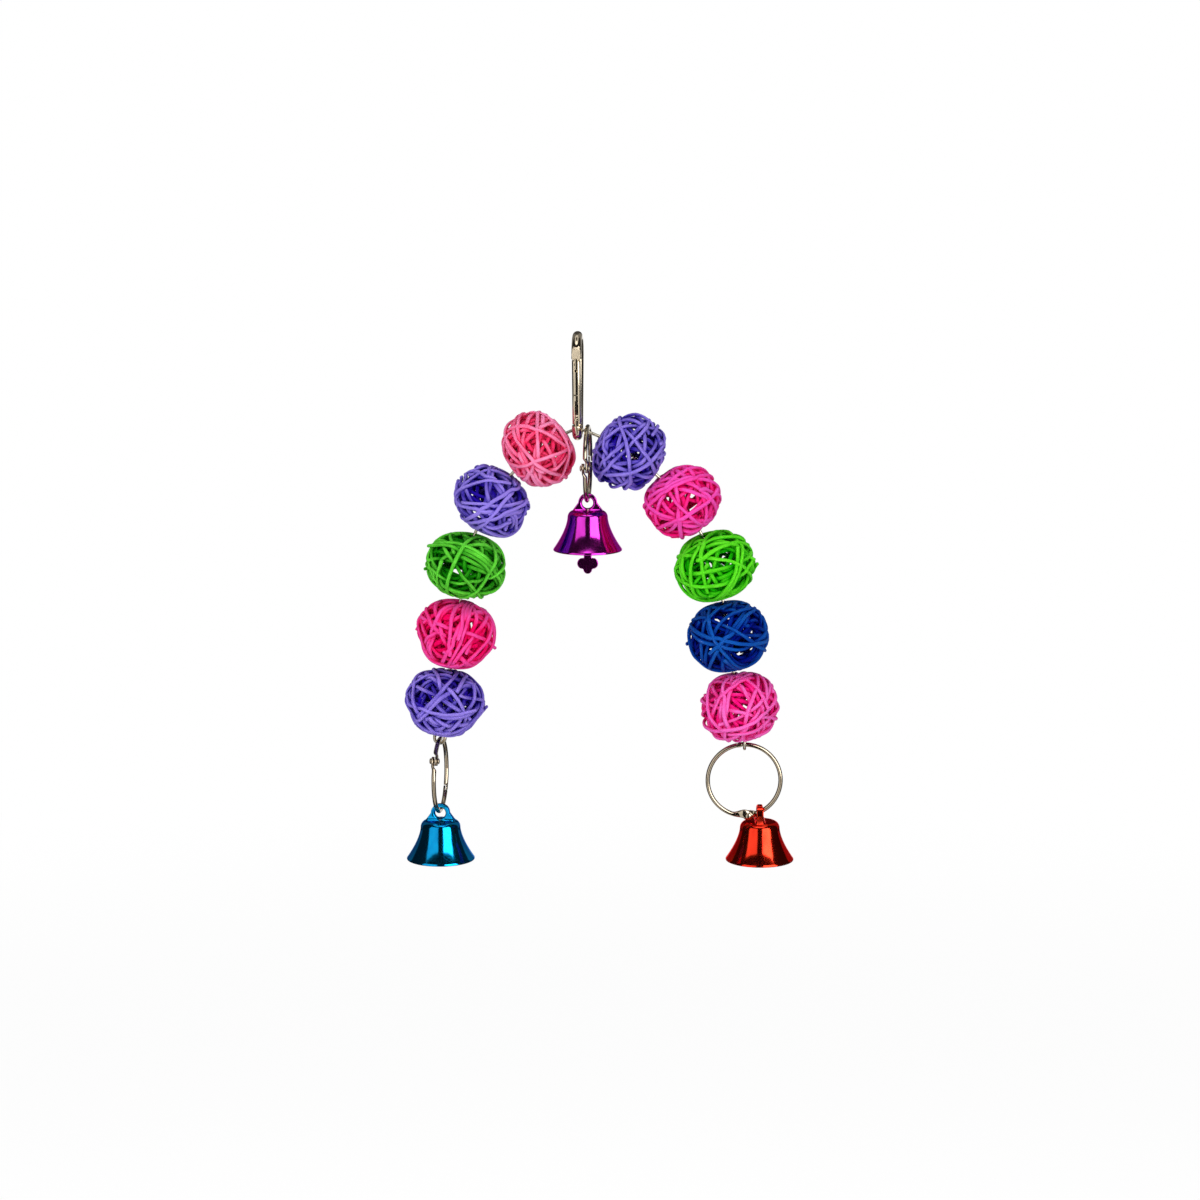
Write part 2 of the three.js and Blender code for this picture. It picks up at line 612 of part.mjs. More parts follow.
const hook = new THREE.Group();
hook.rotation.z = HOOK_TURN;
hook.add(piece('snap_hook_body', hookBody(), NICKEL));
const gate = new THREE.Group();
gate.name = 'gate';
gate.position.copy(gateFrame.position);
gate.rotation.copy(gateFrame.rotation);
const plunger = rod('z', PLUNGER_R, GATE_PIN_Z + GATE_R + GAP, GATE_FORK_TOP - GAP, 0, 0, 12);
gate.add(piece('snap_hook_gate', hookGate(), NICKEL));
gate.add(piece('gate_pivot_pin', pinGeometry(PIN_R, GATE_R, 0, GATE_PIN_Z), NICKEL));
gate.add(piece('gate_catch_pin', pinGeometry(CATCH_PIN_R, GATE_R * 0.8, CATCH_PIN_Y, catchZ), NICKEL));
gate.add(piece('gate_spring', gateSpring(), NICKEL));
gate.add(piece('gate_plunger', geometryOf(plunger), NICKEL));
hook.add(gate);
toy.add(hook);

toy.add(piece('arch_wire', wireGeometry(), NICKEL));

for (const side of SIDES) {
  const distances = ballDistances(side);
  BALLS[side.name].forEach((ball, i) => {
    const name = `ball_${side.name}_${i + 1}`;
    const { place, slope } = routeAt(side, distances[i]);
    const look = { color: ball.colour, roughness: 0.6, metalness: 0 };
    const mesh = piece(name, ballGeometry(ball, name), look);
    mesh.position.copy(place);
    mesh.rotation.y = side.sign * (Math.PI / 2 + slope);
    toy.add(mesh);
  });
}

// Centre ring: across the arch, over the wire beside the hook, with its hinge to the front.
const centreWire = routeAt(SIDES[1], CENTRE_RING_X / Math.cos(SIDES[1].slope));
const centreRise = (WIRE_R + GAP + RING_WIRE_R) / Math.cos(centreWire.slope);
const centreRing = ringGroup('centre');
centreRing.position.set(centreWire.place.x, 0, centreWire.place.z + centreRise - RING_R);
const acrossArch = (angle, turn) => {
  const hinge = new THREE.Vector3(0, -Math.sin(angle), Math.cos(angle));
  const over = new THREE.Vector3(0, Math.cos(angle), Math.sin(angle));
  const frame = new THREE.Matrix4().makeBasis(hinge, over, new THREE.Vector3(-1, 0, 0));
  frame.premultiply(new THREE.Matrix4().makeRotationZ(turn));
  return new THREE.Quaternion().setFromRotationMatrix(frame);
};
centreRing.quaternion.copy(acrossArch(CENTRE_HINGE_ANGLE, CENTRE_RING_TURN));
toy.add(centreRing);
const centreBell = bellGroup('centre', LONG_CLAPPER_TIP);
const centreHang = centreRing.position.clone();
centreHang.z -= RING_R;
hangBell(centreBell, centreHang, LUG_TOUCH);
toy.add(centreBell);

// Left ring: also across the arch, turned a little, hinged high on the front.
const leftTop = sideEnd(SIDES[0]).ringTop;
const leftRing = ringGroup('left');
leftRing.position.set(leftTop.x, 0, leftTop.z - RING_R);
leftRing.quaternion.copy(acrossArch(LEFT_HINGE_ANGLE, LEFT_RING_TURN));
toy.add(leftRing);
const leftBell = bellGroup('left', SHORT_CLAPPER_TIP);
const leftHang = leftRing.position.clone();
leftHang.z -= RING_R;
hangBell(leftBell, leftHang, LUG_TOUCH);
leftBell.rotation.z = LEFT_RING_TURN;
toy.add(leftBell);

// Right ring: in the plane of the arch, hinged at the bottom, its bell a little up the right half.
const rightTop = sideEnd(SIDES[1]).ringTop;
const rightRing = ringGroup('right');
rightRing.position.set(rightTop.x, 0, rightTop.z - RING_R);
const rightHinge = new THREE.Vector3(Math.sin(RIGHT_HINGE_ANGLE), 0, -Math.cos(RIGHT_HINGE_ANGLE));
const rightOver = new THREE.Vector3(Math.cos(RIGHT_HINGE_ANGLE), 0, Math.sin(RIGHT_HINGE_ANGLE));
const rightFrame = new THREE.Matrix4().makeBasis(rightHinge, rightOver, new THREE.Vector3(0, -1, 0));
rightRing.quaternion.setFromRotationMatrix(rightFrame);
toy.add(rightRing);
const rightBell = bellGroup('right', SHORT_CLAPPER_TIP);
const rightHang = rightRing.position.clone();
rightHang.x += RING_R * Math.sin(RIGHT_BELL_ANGLE);
rightHang.z -= RING_R * Math.cos(RIGHT_BELL_ANGLE);
hangBell(rightBell, rightHang, LUG_TOUCH_SLOPED);
rightBell.rotation.z = Math.PI / 2;
toy.add(rightBell);

export default toy;
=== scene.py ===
# %% [markdown]
# # Bird toy arch
# A bent wire threads ten woven vine balls and hangs in a snap hook. Hinged rings carry three lacquered
# bells, one under the crown of the arch and one at each end of the wire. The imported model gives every
# place and joint, so this lesson only dresses it: it loads that frame first and keeps its box, because
# the dressed toy has to stay the same size.

# %% Load the frame
import json
import math

import bmesh
import bpy
import numpy as np
from mathutils import Matrix, Vector


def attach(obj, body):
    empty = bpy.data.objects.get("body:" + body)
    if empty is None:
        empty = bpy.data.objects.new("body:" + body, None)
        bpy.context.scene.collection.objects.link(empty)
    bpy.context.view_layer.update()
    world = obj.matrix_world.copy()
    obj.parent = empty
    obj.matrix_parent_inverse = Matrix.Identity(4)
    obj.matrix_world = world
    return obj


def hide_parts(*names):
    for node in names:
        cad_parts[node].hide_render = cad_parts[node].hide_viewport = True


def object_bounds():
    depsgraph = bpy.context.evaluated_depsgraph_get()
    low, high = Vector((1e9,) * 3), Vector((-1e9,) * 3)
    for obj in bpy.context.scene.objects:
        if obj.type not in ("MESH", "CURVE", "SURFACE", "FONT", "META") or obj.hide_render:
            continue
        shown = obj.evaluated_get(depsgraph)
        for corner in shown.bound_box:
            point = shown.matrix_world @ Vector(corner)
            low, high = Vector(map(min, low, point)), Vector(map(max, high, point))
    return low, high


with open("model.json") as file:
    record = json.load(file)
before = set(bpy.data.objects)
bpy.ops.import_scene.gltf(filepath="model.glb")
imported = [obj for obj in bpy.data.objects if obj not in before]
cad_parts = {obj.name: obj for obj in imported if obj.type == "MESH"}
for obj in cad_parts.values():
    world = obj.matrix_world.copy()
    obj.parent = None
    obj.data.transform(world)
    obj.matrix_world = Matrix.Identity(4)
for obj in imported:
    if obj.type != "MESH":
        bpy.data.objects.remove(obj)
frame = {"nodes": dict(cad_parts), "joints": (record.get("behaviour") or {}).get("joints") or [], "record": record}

MM = 0.001
CAD_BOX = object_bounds()
JOINTS = {joint["name"]: joint for joint in frame["joints"]}


def joint_place(name):
    """Where a joint sits, in millimetres."""
    return np.array(JOINTS[name]["pos_m"]) / MM


def joint_axis(name):
    return np.array(JOINTS[name]["axis"])


def node_points(name):
    """The corners of a frame node, in millimetres."""
    return np.array([vertex.co for vertex in frame["nodes"][name].data.vertices]) / MM


def added(name, data):
    """A new object, linked into the scene."""
    made = bpy.data.objects.new(name, data)
    bpy.context.collection.objects.link(made)
    return made


# %% [markdown]
# The photograph looks at the toy from straight ahead and a little above, with a long lens, so the two
# legs of the arch hardly converge. A camera far off with a narrow field gives that calm perspective, which
# a near one with a wide field would spoil. Its target is the point in the middle of the picture.

# %% Camera
VIEW_TARGET = Vector((10.8, 0, -126.4)) * MM
VIEW_DISTANCE = 1650 * MM
VIEW_ELEVATION = math.radians(10)
LENS = 101.6
SENSOR = 36

camera_data = bpy.data.cameras.new("camera")
camera_data.lens = LENS
camera_data.sensor_width = SENSOR
camera = added("camera", camera_data)
towards_viewer = Vector((0, -math.cos(VIEW_ELEVATION), math.sin(VIEW_ELEVATION)))
camera.location = VIEW_TARGET + towards_viewer * VIEW_DISTANCE
camera.rotation_euler = (-towards_viewer).to_track_quat("-Z", "Y").to_euler()
bpy.context.scene.camera = camera
bpy.context.scene.view_settings.view_transform = "Standard"
print("camera at", [round(value, 3) for value in camera.location])

# %% [markdown]
# A finish is a node tree. Wiring nodes by hand hides the idea behind the plumbing, so one small class
# wraps a socket and lets Python's operators add the Math nodes, and one method adds any other node with
# its settings first and its sockets after. The formulas in the finishes below then read as formulas. The
# nodes that several finishes share have short methods of their own.

# %% Sockets that can be added and multiplied
WHITE = (1, 1, 1, 1)


class Shade:
    """A socket in a node tree. An expression on shades adds its Math nodes."""

    def __init__(self, finish, socket):
        self.finish = finish
        self.socket = socket

    def maths(self, operation, first, second):
        return self.finish.add("ShaderNodeMath", {"operation": operation}, {0: first, 1: second})

    def __add__(self, other):
        return self.maths("ADD", self, other)

    __radd__ = __add__

    def __sub__(self, other):
        return self.maths("SUBTRACT", self, other)

    def __mul__(self, other):
        return self.maths("MULTIPLY", self, other)


class Finish:
    """A node tree under construction, of a material or of the world."""

    def __init__(self, tree):
        self.tree = tree
        tree.nodes.clear()

    def feed(self, socket, value):
        if isinstance(value, Shade):
            self.tree.links.new(value.socket, socket)
        else:
            socket.default_value = value

    def add(self, kind, settings=None, inputs=None, output=0):
        """A node of a kind, with its settings and then the values or links of its sockets."""
        node = self.tree.nodes.new(kind)
        for key, value in (settings or {}).items():
            setattr(node, key, value)
        for key, value in (inputs or {}).items():
            self.feed(node.inputs[key], value)
        return Shade(self, node.outputs[output]) if len(node.outputs) else None

    def mix_colour(self, share, first, second):
        settings = {"data_type": "RGBA", "clamp_factor": True}
        return self.add("ShaderNodeMix", settings, {0: share, 6: first, 7: second}, 2)

    def place(self):
        return self.add("ShaderNodeTexCoord", None, None, "Object")

    def attribute(self, name):
        return self.add("ShaderNodeAttribute", {"attribute_name": name}, None, "Fac")

    def stretched(self, place, by):
        return self.add("ShaderNodeVectorMath", {"operation": "MULTIPLY"}, {0: place, 1: by})

    def noise(self, place, scale, detail, roughness=0.5):
        inputs = {"Vector": place, "Scale": scale, "Detail": detail, "Roughness": roughness}
        return self.add("ShaderNodeTexNoise", None, inputs)

    def bump(self, height, strength, distance):
        inputs = {"Height": height, "Strength": strength, "Distance": distance}
        return self.add("ShaderNodeBump", None, inputs)

    def glow(self, strength):
        return self.add("ShaderNodeEmission", None, {"Color": WHITE, "Strength": strength})

    def surface(self, shader):
        self.add("ShaderNodeOutputMaterial", None, {"Surface": shader})

    def principled(self, inputs):
        self.surface(self.add("ShaderNodeBsdfPrincipled", None, inputs))


def material(name):
    made = bpy.data.materials.new(name)
    made.use_nodes = True
    return made, Finish(made.node_tree)


def colour(code):
    """A written colour, such as f7719f, as the linear values that a socket takes."""
    shares = [int(code[i:i + 2], 16) / 255 for i in (0, 2, 4)]
    return [s / 12.92 if s <= 0.04045 else ((s + 0.055) / 1.055) ** 2.4 for s in shares] + [1]


print("shader helpers ready")

# %% [markdown]
# The toy hangs in front of plain white. The world shows white to the camera and to mirror-like surfaces,
# and gives only a soft fill to the rest, so that the white behind does not wash the colours out. Far
# below lies a pale floor, which takes the shadow and is otherwise as white as the world.

# %% World and floor
FILL = 0.26
FLOOR_DROP = 340 * MM
FLOOR_HALF = 9.0
FLOOR_MATT = (0.8, 0.8, 0.8, 1)
FLOOR_FAINT = (0.3, 0.3, 0.3, 1)
FLOOR_GLOW = 0.82
FADE_START = 0.5
FADE_END = 1.6


def seen_as_background(finish):
    """1 for rays from the camera, in a mirror or through glass, else 0."""
    kinds = ("Is Camera Ray", "Is Glossy Ray", "Is Transmission Ray")
    rays = [finish.add("ShaderNodeLightPath", None, None, kind) for kind in kinds]
    either = rays[0].maths("MAXIMUM", rays[0], rays[1])
    return either.maths("MAXIMUM", either, rays[2])


world = bpy.data.worlds.new("studio")
world.use_nodes = True
bpy.context.scene.world = world
sky = Finish(world.node_tree)
strength = FILL + seen_as_background(sky) * (1 - FILL)
background = sky.add("ShaderNodeBackground", None, {"Color": WHITE, "Strength": strength})
sky.add("ShaderNodeOutputWorld", None, {"Surface": background})

floor_material, ground = material("pale_floor")
matt = ground.add("ShaderNodeBsdfDiffuse", None, {"Color": FLOOR_MATT})
faint = ground.add("ShaderNodeBsdfDiffuse", None, {"Color": FLOOR_FAINT})
lit = ground.add("ShaderNodeAddShader", None, {0: faint, 1: ground.glow(FLOOR_GLOW)})
away = ground.add("ShaderNodeVectorMath", {"operation": "LENGTH"}, {0: ground.place()}, "Value")
faded = {0: away, 1: FADE_START, 2: FADE_END}
fade = ground.add("ShaderNodeMapRange", {"interpolation_type": "SMOOTHSTEP"}, faded)
near = ground.add("ShaderNodeMixShader", None, {0: fade, 1: lit, 2: ground.glow(1)})
ground.surface(ground.add("ShaderNodeMixShader", None, {0: seen_as_background(ground), 1: matt, 2: near}))

floor_mesh = bpy.data.meshes.new("floor")
corners = [(x * FLOOR_HALF, y * FLOOR_HALF, 0) for x, y in ((-1, -1), (1, -1), (1, 1), (-1, 1))]
floor_mesh.from_pydata(corners, [], [(0, 1, 2, 3)])
floor_mesh.materials.append(floor_material)
floor = added("floor", floor_mesh)
floor.location.z = CAD_BOX[0].z - FLOOR_DROP
print("floor at", round(floor.location.z, 3))

# %% [markdown]
# Plated metal looks like metal only when it has bright and dark things to mirror. A studio gives it tall
# soft boxes on both sides of the camera and dark cards between and beside them. Here the lamps only light
# the toy. What it mirrors are panels and cards, stage pieces that nothing but a mirror can see, so they
# throw no shade, stay out of the picture and can be made as bright or as dark as the photograph shows.

# %% Soft boxes and dark cards
SOFT_BOXES = [("box_left", -41, 12, (1.3, 1.9), 21), ("box_right", 39, 12, (1.15, 1.9), 18.5),
              ("box_top", 0, 67, (1.5, 0.5), 8)]
BOX_RADIUS = 1.8
CARD_RADIUS = 2.5
CARD_COLUMNS = 25
CARD_ROWS = 9
MAT_ROWS = 6
MAT_START = 0.05
MAT_LIFT = 0.01
CARDS = [("panel_left", -64, -13, -14, 40, 1.25), ("panel_right", 15, 61, -14, 40, 5.0),
         ("panel_top", -45, 45, 58, 76, 2.2), ("card_front", -13, 15, -14, 58, 0.015),
         ("card_right", 61, 122, -14, 62, 0.03), ("card_left", -122, -64, -14, 62, 0.03),
         ("card_brow_left", -64, -13, 40, 58, 0.02), ("card_brow_right", 15, 61, 40, 58, 0.02),
         ("card_back", 158, 202, 3, 62, 0.08), ("card_back_right", 122, 158, -14, 62, 0.32),
         ("card_back_left", 202, 238, -14, 62, 0.25), ("card_roof", 0, 360, 78, 90, 0.05)]
FLOOR_CARDS = [("mat_front", -14, 14, 0.015), ("mat_right", 63, 160, 0.06), ("mat_left", 200, 294, 0.06)]
toy_middle = (CAD_BOX[0] + CAD_BOX[1]) / 2


def round_the_toy(degrees, elevation, radius):
    """A place round the toy. Zero degrees is towards the viewer, and positive is to the right."""
    turn, rise = math.radians(degrees), math.radians(elevation)
    flat = math.cos(rise)
    return toy_middle + Vector((math.sin(turn) * flat, -math.cos(turn) * flat, math.sin(rise))) * radius


for name, degrees, elevation, size, power in SOFT_BOXES:
    lamp = bpy.data.lights.new(name, "AREA")
    lamp.shape = "RECTANGLE"
    lamp.size, lamp.size_y = size
    lamp.energy = power
    holder = added(name, lamp)
    holder.location = round_the_toy(degrees, elevation, BOX_RADIUS)
    holder.rotation_euler = (toy_middle - holder.location).to_track_quat("-Z", "Y").to_euler()
    holder.visible_camera = holder.visible_glossy = False


def card(name, spots, brightness):
    """Rows of spots as a sheet of one brightness that only mirrors see."""
    sheet, paint = material(name)
    paint.surface(paint.glow(brightness))
    across = CARD_COLUMNS
    starts = [i for i in range(len(spots) - across) if (i + 1) % across]
    mesh = bpy.data.meshes.new(name)
    mesh.from_pydata(spots, [], [(i, i + 1, i + across + 1, i + across) for i in starts])
    mesh.materials.append(sheet)
    made = added(name, mesh)
    made.visible_camera = made.visible_diffuse = made.visible_shadow = False


for name, first, last, low, high, brightness in CARDS:
    turns, rises = np.linspace(first, last, CARD_COLUMNS), np.linspace(low, high, CARD_ROWS)
    card(name, [round_the_toy(turn, rise, CARD_RADIUS) for rise in rises for turn in turns], brightness)
for name, first, last, brightness in FLOOR_CARDS:
    spots = []
    for radius in np.linspace(MAT_START, CARD_RADIUS, MAT_ROWS):
        for turn in np.linspace(first, last, CARD_COLUMNS):
            spot = round_the_toy(turn, 0, radius)
            spots.append((spot.x, spot.y, floor.location.z + MAT_LIFT))
    card(name, spots, brightness)
print("studio:", len(SOFT_BOXES), "soft boxes,", len(CARDS) + len(FLOOR_CARDS), "cards")

# %% [markdown]
# The hook, rings, wire, staples and pins are steel with a bright nickel plate. Nickel is a warm, slightly
# yellow mirror. Handling leaves faint smears and hairline scratches, which show as changes of roughness
# more than of colour, so noise drives the roughness and a very small bump. Where a face was ground flat it
# is duller, and an attribute of the mesh says where.

# %% Nickel plate
WORN_SHARE = 0.72


def nickel(name, tint, gloss):
    made, finish = material(name)
    place = finish.place()
    smear = finish.noise(place, 90.0, 4.0)
    pits = finish.noise(place, 900.0, 2.0)
    worn = [value * WORN_SHARE for value in tint[:3]] + [1]
    finish.principled({
        "Base Color": finish.mix_colour((smear - 0.42) * 2.4, tint, worn),
        "Metallic": 1.0,
        "Roughness": gloss + (smear - 0.4) * 0.12 + finish.attribute("ground") * 0.5,
        "Normal": finish.bump(pits, 0.02, 0.00003),
    })
    return made


NICKEL = nickel("nickel_plate", colour("cdbfa6"), 0.1)
RING_NICKEL = nickel("ring_nickel", colour("b2a48e"), 0.11)
BRIGHT_WIRE = nickel("bright_wire", colour("c4baa8"), 0.16)
# Dark steel for the spring and plunger: oiled steel, darkened further as painted shade for the gate's slot.
OILED_STEEL_AND_SLOT_SHADE = nickel("oiled_steel_and_slot_shade", colour("3a3632"), 0.38)
print("finish:", NICKEL.name, RING_NICKEL.name, BRIGHT_WIRE.name, OILED_STEEL_AND_SLOT_SHADE.name)

# %% [markdown]
# Each bell is pressed from thin steel, polished and dipped in clear coloured lacquer. Light passes the
# lacquer twice, so the metal under it mirrors the room in one strong colour, and the lacquer's own skin
# adds a white sheen. A metal shader with a coat on top does both. The dip runs down and gathers at the
# rim, so noise stretched along the height varies the colour a little.

# %% Lacquer
RUN_STRETCH = (1, 1, 0.25)


def lacquer(name, bright, deep):
    made, finish = material(name)
    place = finish.place()
    runs = finish.noise(finish.stretched(place, RUN_STRETCH), 160.0, 3.0)
    dents = finish.noise(place, 120.0, 1.0)
    finish.principled({
        "Base Color": finish.mix_colour((runs - 0.35) * 2.0, colour(bright), colour(deep)),
        "Metallic": 1.0,
        "Roughness": 0.13 + (runs - 0.5) * 0.1,
        "Specular Tint": colour(bright),
        "Coat Weight": 0.08,
        "Coat Roughness": 0.05,
        "Normal": finish.bump(dents, 0.35, 0.0004),
    })
    return made


LACQUER = {
    "centre": lacquer("lacquer_magenta", "d83acc", "b01692"),
    "left": lacquer("lacquer_blue", "0698d0", "026cae"),
    "right": lacquer("lacquer_red", "f03a20", "cc1e0c"),
}
print("finish:", [made.name for made in LACQUER.values()])

# %% [markdown]
# The vine goes through a dye bath after it is wound, and every strand shows fine streaks along its length.
# Shade is painted into the colour as well: strands deep in the ball and the faces of a strand that turn
# inwards take a deep, darker copy of the dye, the outward faces of outer strands a pale copy, with a
# whitish painted sheen in streaks that is partly worn skin. The mesh carries three helpers for this: a
# strand coordinate along and around, how far out the strand lies and which way each face turns, and a
# tone of its own for each strand.

# %% Vine dye and painted shade
FIBRE_STRETCH = (0.22, 13.0, 1)
PATCH_STRETCH = (0.09, 2.0, 1)
# Each dye has a pale colour for the lit outer faces and a deep colour that paints the shade inside the ball.
DYE_PAIRS_WITH_PAINTED_SHADE = {
    "vine_pale_pink": ("f58cb8", "f02c62"),
    "vine_purple": ("8f7cdc", "1e0696"),
    "vine_green": ("66d83e", "0c7a04"),
    "vine_hot_pink": ("f24ca6", "f0005e"),
    "vine_magenta": ("f04eb6", "f0006c"),
    "vine_lime": ("60de26", "0aa400"),
    "vine_blue": ("1050a6", "000e78"),
    "vine_pink": ("f268c0", "f00a7c"),
}


def dyed_vine_with_painted_shade(name, pale, deep):
    made, finish = material(name)
    strand = finish.add("ShaderNodeUVMap", {"uv_map": "strand"})
    outer, tone = finish.attribute("outer"), finish.attribute("tone")
    fibre = finish.noise(finish.stretched(strand, FIBRE_STRETCH), 1.0, 4.0, 0.62)
    patch = finish.noise(finish.stretched(strand, PATCH_STRETCH), 1.0, 2.0)
    wash = finish.noise(finish.place(), 42.0, 1.0)
    # Painted shade: a high outer share mixes towards the pale colour and a low one towards the deep colour; tone,
    # patches, streaks and wash vary it at random.
    share = outer * 1.05 + (tone - 0.5) * 0.3 + (patch - 0.5) * 0.6
    share = share + (fibre - 0.5) * 1.5 + (wash - 0.55) * 0.9
    # Painted sheen: a paler whitish copy of the pale colour, in streaks on the outward faces of outer strands,
    # partly worn skin and partly a painted highlight.
    worn = [0.75 * value + 0.25 for value in colour(pale)]
    dye_and_painted_shade = finish.mix_colour(share, colour(deep), colour(pale))
    finish.principled({
        "Base Color": finish.mix_colour((fibre + outer * 0.4 - 0.94) * 3.0, dye_and_painted_shade, worn),
        "Roughness": 0.4 + fibre * 0.4,
        "Specular IOR Level": 0.22,
        "Specular Tint": colour(pale),
        "Normal": finish.bump(fibre * 0.6 + patch * 0.4, 1.0, 0.0004),
    })
    return made


VINE = {name: dyed_vine_with_painted_shade(name, *codes) for name, codes in DYE_PAIRS_WITH_PAINTED_SHADE.items()}
SLOTS = {part["node"]: part["material_slot"] for part in frame["record"]["subparts"]}
print("finish:", len(VINE), "dyes")

# %% [markdown]
# Almost every piece of this toy is a bar or a strand that follows a line, or a shape turned on an axis.
# Two helpers make those as clean quads: one sweeps a round section along a path, with its width and
# thickness free to change on the way, and one turns a profile. Holes and slots are cut with boolean steps,
# and points that a cut leaves on top of each other are welded. The last helper makes the object and hands
# it to the frame.

# %% Mesh helpers
WELD = 0.004


def unit(vectors):
    return vectors / np.linalg.norm(vectors, axis=-1, keepdims=True)


def tangents(path):
    ahead = np.vstack([path[1:], 2 * path[-1] - path[-2]])
    behind = np.vstack([2 * path[0] - path[1], path[:-1]])
    return unit(ahead - behind)


def carried_frames(path, start):
    """A side and an up direction at each point of a path, carried along it with no twist."""
    along = tangents(path)
    side = np.empty_like(path)
    side[0] = unit(start - along[0] * (start @ along[0]))
    for i in range(1, len(path)):
        side[i] = unit(side[i - 1] - along[i] * (side[i - 1] @ along[i]))
    return side, np.cross(along, side)


def tube_faces(rings, sides):
    quads = []
    for i in range(rings - 1):
        for k in range(sides):
            a = i * sides + k
            b = i * sides + (k + 1) % sides
            quads.append((a, b, b + sides, a + sides))
    last = (rings - 1) * sides
    return quads + [tuple(reversed(range(sides))), tuple(range(last, last + sides))]


def sweep(path, half_side, half_up, start=(0, 0, 1), sides=16):
    """Points and faces of a bar along a path. The half sizes are one number or one for each point."""
    path = np.asarray(path, float)
    side, up = carried_frames(path, np.asarray(start, float))
    turn = 2 * np.pi * np.arange(sides) / sides
    wide = np.broadcast_to(half_side, len(path))[:, None, None]
    thick = np.broadcast_to(half_up, len(path))[:, None, None]
    across = np.cos(turn)[None, :, None] * side[:, None, :] * wide
    rise = np.sin(turn)[None, :, None] * up[:, None, :] * thick
    points = (path[:, None, :] + across + rise).reshape(-1, 3)
    return points, tube_faces(len(path), sides)


def turned(profile, sides=64):
    """Points and faces of a profile of (radius, height) turned about Z. It starts and ends on the axis."""
    profile = np.asarray(profile, float)
    turn = 2 * np.pi * np.arange(sides) / sides
    ring = np.stack([np.cos(turn), np.sin(turn)], 1)
    inner = profile[1:-1]
    points = [np.column_stack([ring * r, np.full(sides, z)]) for r, z in inner]
    points = np.vstack(points + [[[0, 0, profile[0][1]], [0, 0, profile[-1][1]]]])
    faces = tube_faces(len(inner), sides)[:-2]
    low, high = len(points) - 2, len(points) - 1
    last = (len(inner) - 1) * sides
    for k in range(sides):
        faces.append((low, (k + 1) % sides, k))
        faces.append((high, last + k, last + (k + 1) % sides))
    return points, faces


def spool(upper, half, sides):
    """A profile and its mirror image below it, turned about Z and closed at both ends."""
    lower = [(r, -z) for r, z in reversed(upper)]
    return turned([(0, -half)] + lower + upper + [(0, half)], sides)


def arc(radius, middle, first, last, steps):
    """Points of a circle round a middle, from one angle to another."""
    x, z = middle
    return [(x + radius * math.cos(t), z + radius * math.sin(t)) for t in np.linspace(first, last, steps)]


def joined(parts):
    points, faces = [], []
    for part_points, part_faces in parts:
        shift = sum(len(p) for p in points)
        points.append(part_points)
        faces += [tuple(i + shift for i in face) for face in part_faces]
    return np.vstack(points), faces


def moved(part, shift):
    return part[0] + np.asarray(shift), part[1]


def laid(part, height):
    """A part along Z, laid along Y at a height."""
    return part[0] @ np.array([[1, 0, 0], [0, 0, -1], [0, 1, 0]]) + [0, 0, height], part[1]


def placed(part, axes, origin):
    """A part in its own frame, moved to axes (rows x, y, z) at an origin."""
    points, faces = part
    return points @ np.asarray(axes) + np.asarray(origin), faces


def place_matrix(axes, origin):
    """The matrix that moves a mesh to axes (rows x, y, z) at an origin."""
    return Matrix.Translation(origin) @ Matrix(np.transpose(axes).tolist()).to_4x4()


def mesh_of(name, part):
    points, faces = part
    mesh = bpy.data.meshes.new(name)
    mesh.from_pydata(np.asarray(points).tolist(), [], faces)
    return mesh


def carved(name, part, steps):
    """The mesh of a part after boolean steps. Each step is an operation and another part."""
    made = added(name, mesh_of(name, part))
    tools = []
    for operation, tool in steps:
        tools.append(added(name + "_tool", mesh_of(name + "_tool", tool)))
        change = made.modifiers.new(operation, "BOOLEAN")
        change.operation = operation
        change.solver = "MANIFOLD"
        change.object = tools[-1]
    mesh = bpy.data.meshes.new_from_object(made.evaluated_get(bpy.context.evaluated_depsgraph_get()))
    for used in [made] + tools:
        bpy.data.objects.remove(used)
    welded = bmesh.new()
    welded.from_mesh(mesh)
    bmesh.ops.remove_doubles(welded, verts=welded.verts, dist=WELD)
    welded.to_mesh(mesh)
    welded.free()
    return mesh


def piece(name, shape, finish, body, node, crease=50):
    """An object in metres, from a part or a mesh, that rides on a body and stands for a frame node."""
    mesh = shape if isinstance(shape, bpy.types.Mesh) else mesh_of(name, shape)
    mesh.name = name
    mesh.transform(Matrix.Scale(MM, 4))
    mesh.materials.clear()
    mesh.materials.append(finish)
    mesh.shade_smooth()
    mesh.set_sharp_from_angle(angle=math.radians(crease))
    made = added(name, mesh)
    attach(made, body)
    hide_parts(node)
    return made


print("mesh helpers ready")

# %% [markdown]
# The wire is bent once at the crown and more widely on each side, and its ends are rolled into eyes that
# hold the side rings. Its route needs no list of points: it passes through the middle of every ball, along
# that ball's axis, and the joints of the frame hold both. Smooth cubic stretches between those places give
# the wire back.

# %% Arch wire
WIRE_R = 0.75
EYE_R = 2.6
EYE_SWEEP = math.radians(338)
CROWN_BEND = 2.0
RING_WIRE_R = 1.1
LOOSE = 0.3
SIDES = {"left": -1, "right": 1}
BALLS_A_SIDE = 5
STRETCH_STEPS = 14
EYE_STEPS = 40


def stretch(start, start_way, end, end_way):
    """A cubic stretch between two places, with its direction given at both."""
    t = np.linspace(0, 1, STRETCH_STEPS, endpoint=False)[:, None]
    reach = np.linalg.norm(end - start)
    bend = start_way * (t**3 - 2 * t**2 + t) + end_way * (t**3 - t**2)
    return start * (2 * t**3 - 3 * t**2 + 1) + end * (3 * t**2 - 2 * t**3) + bend * reach


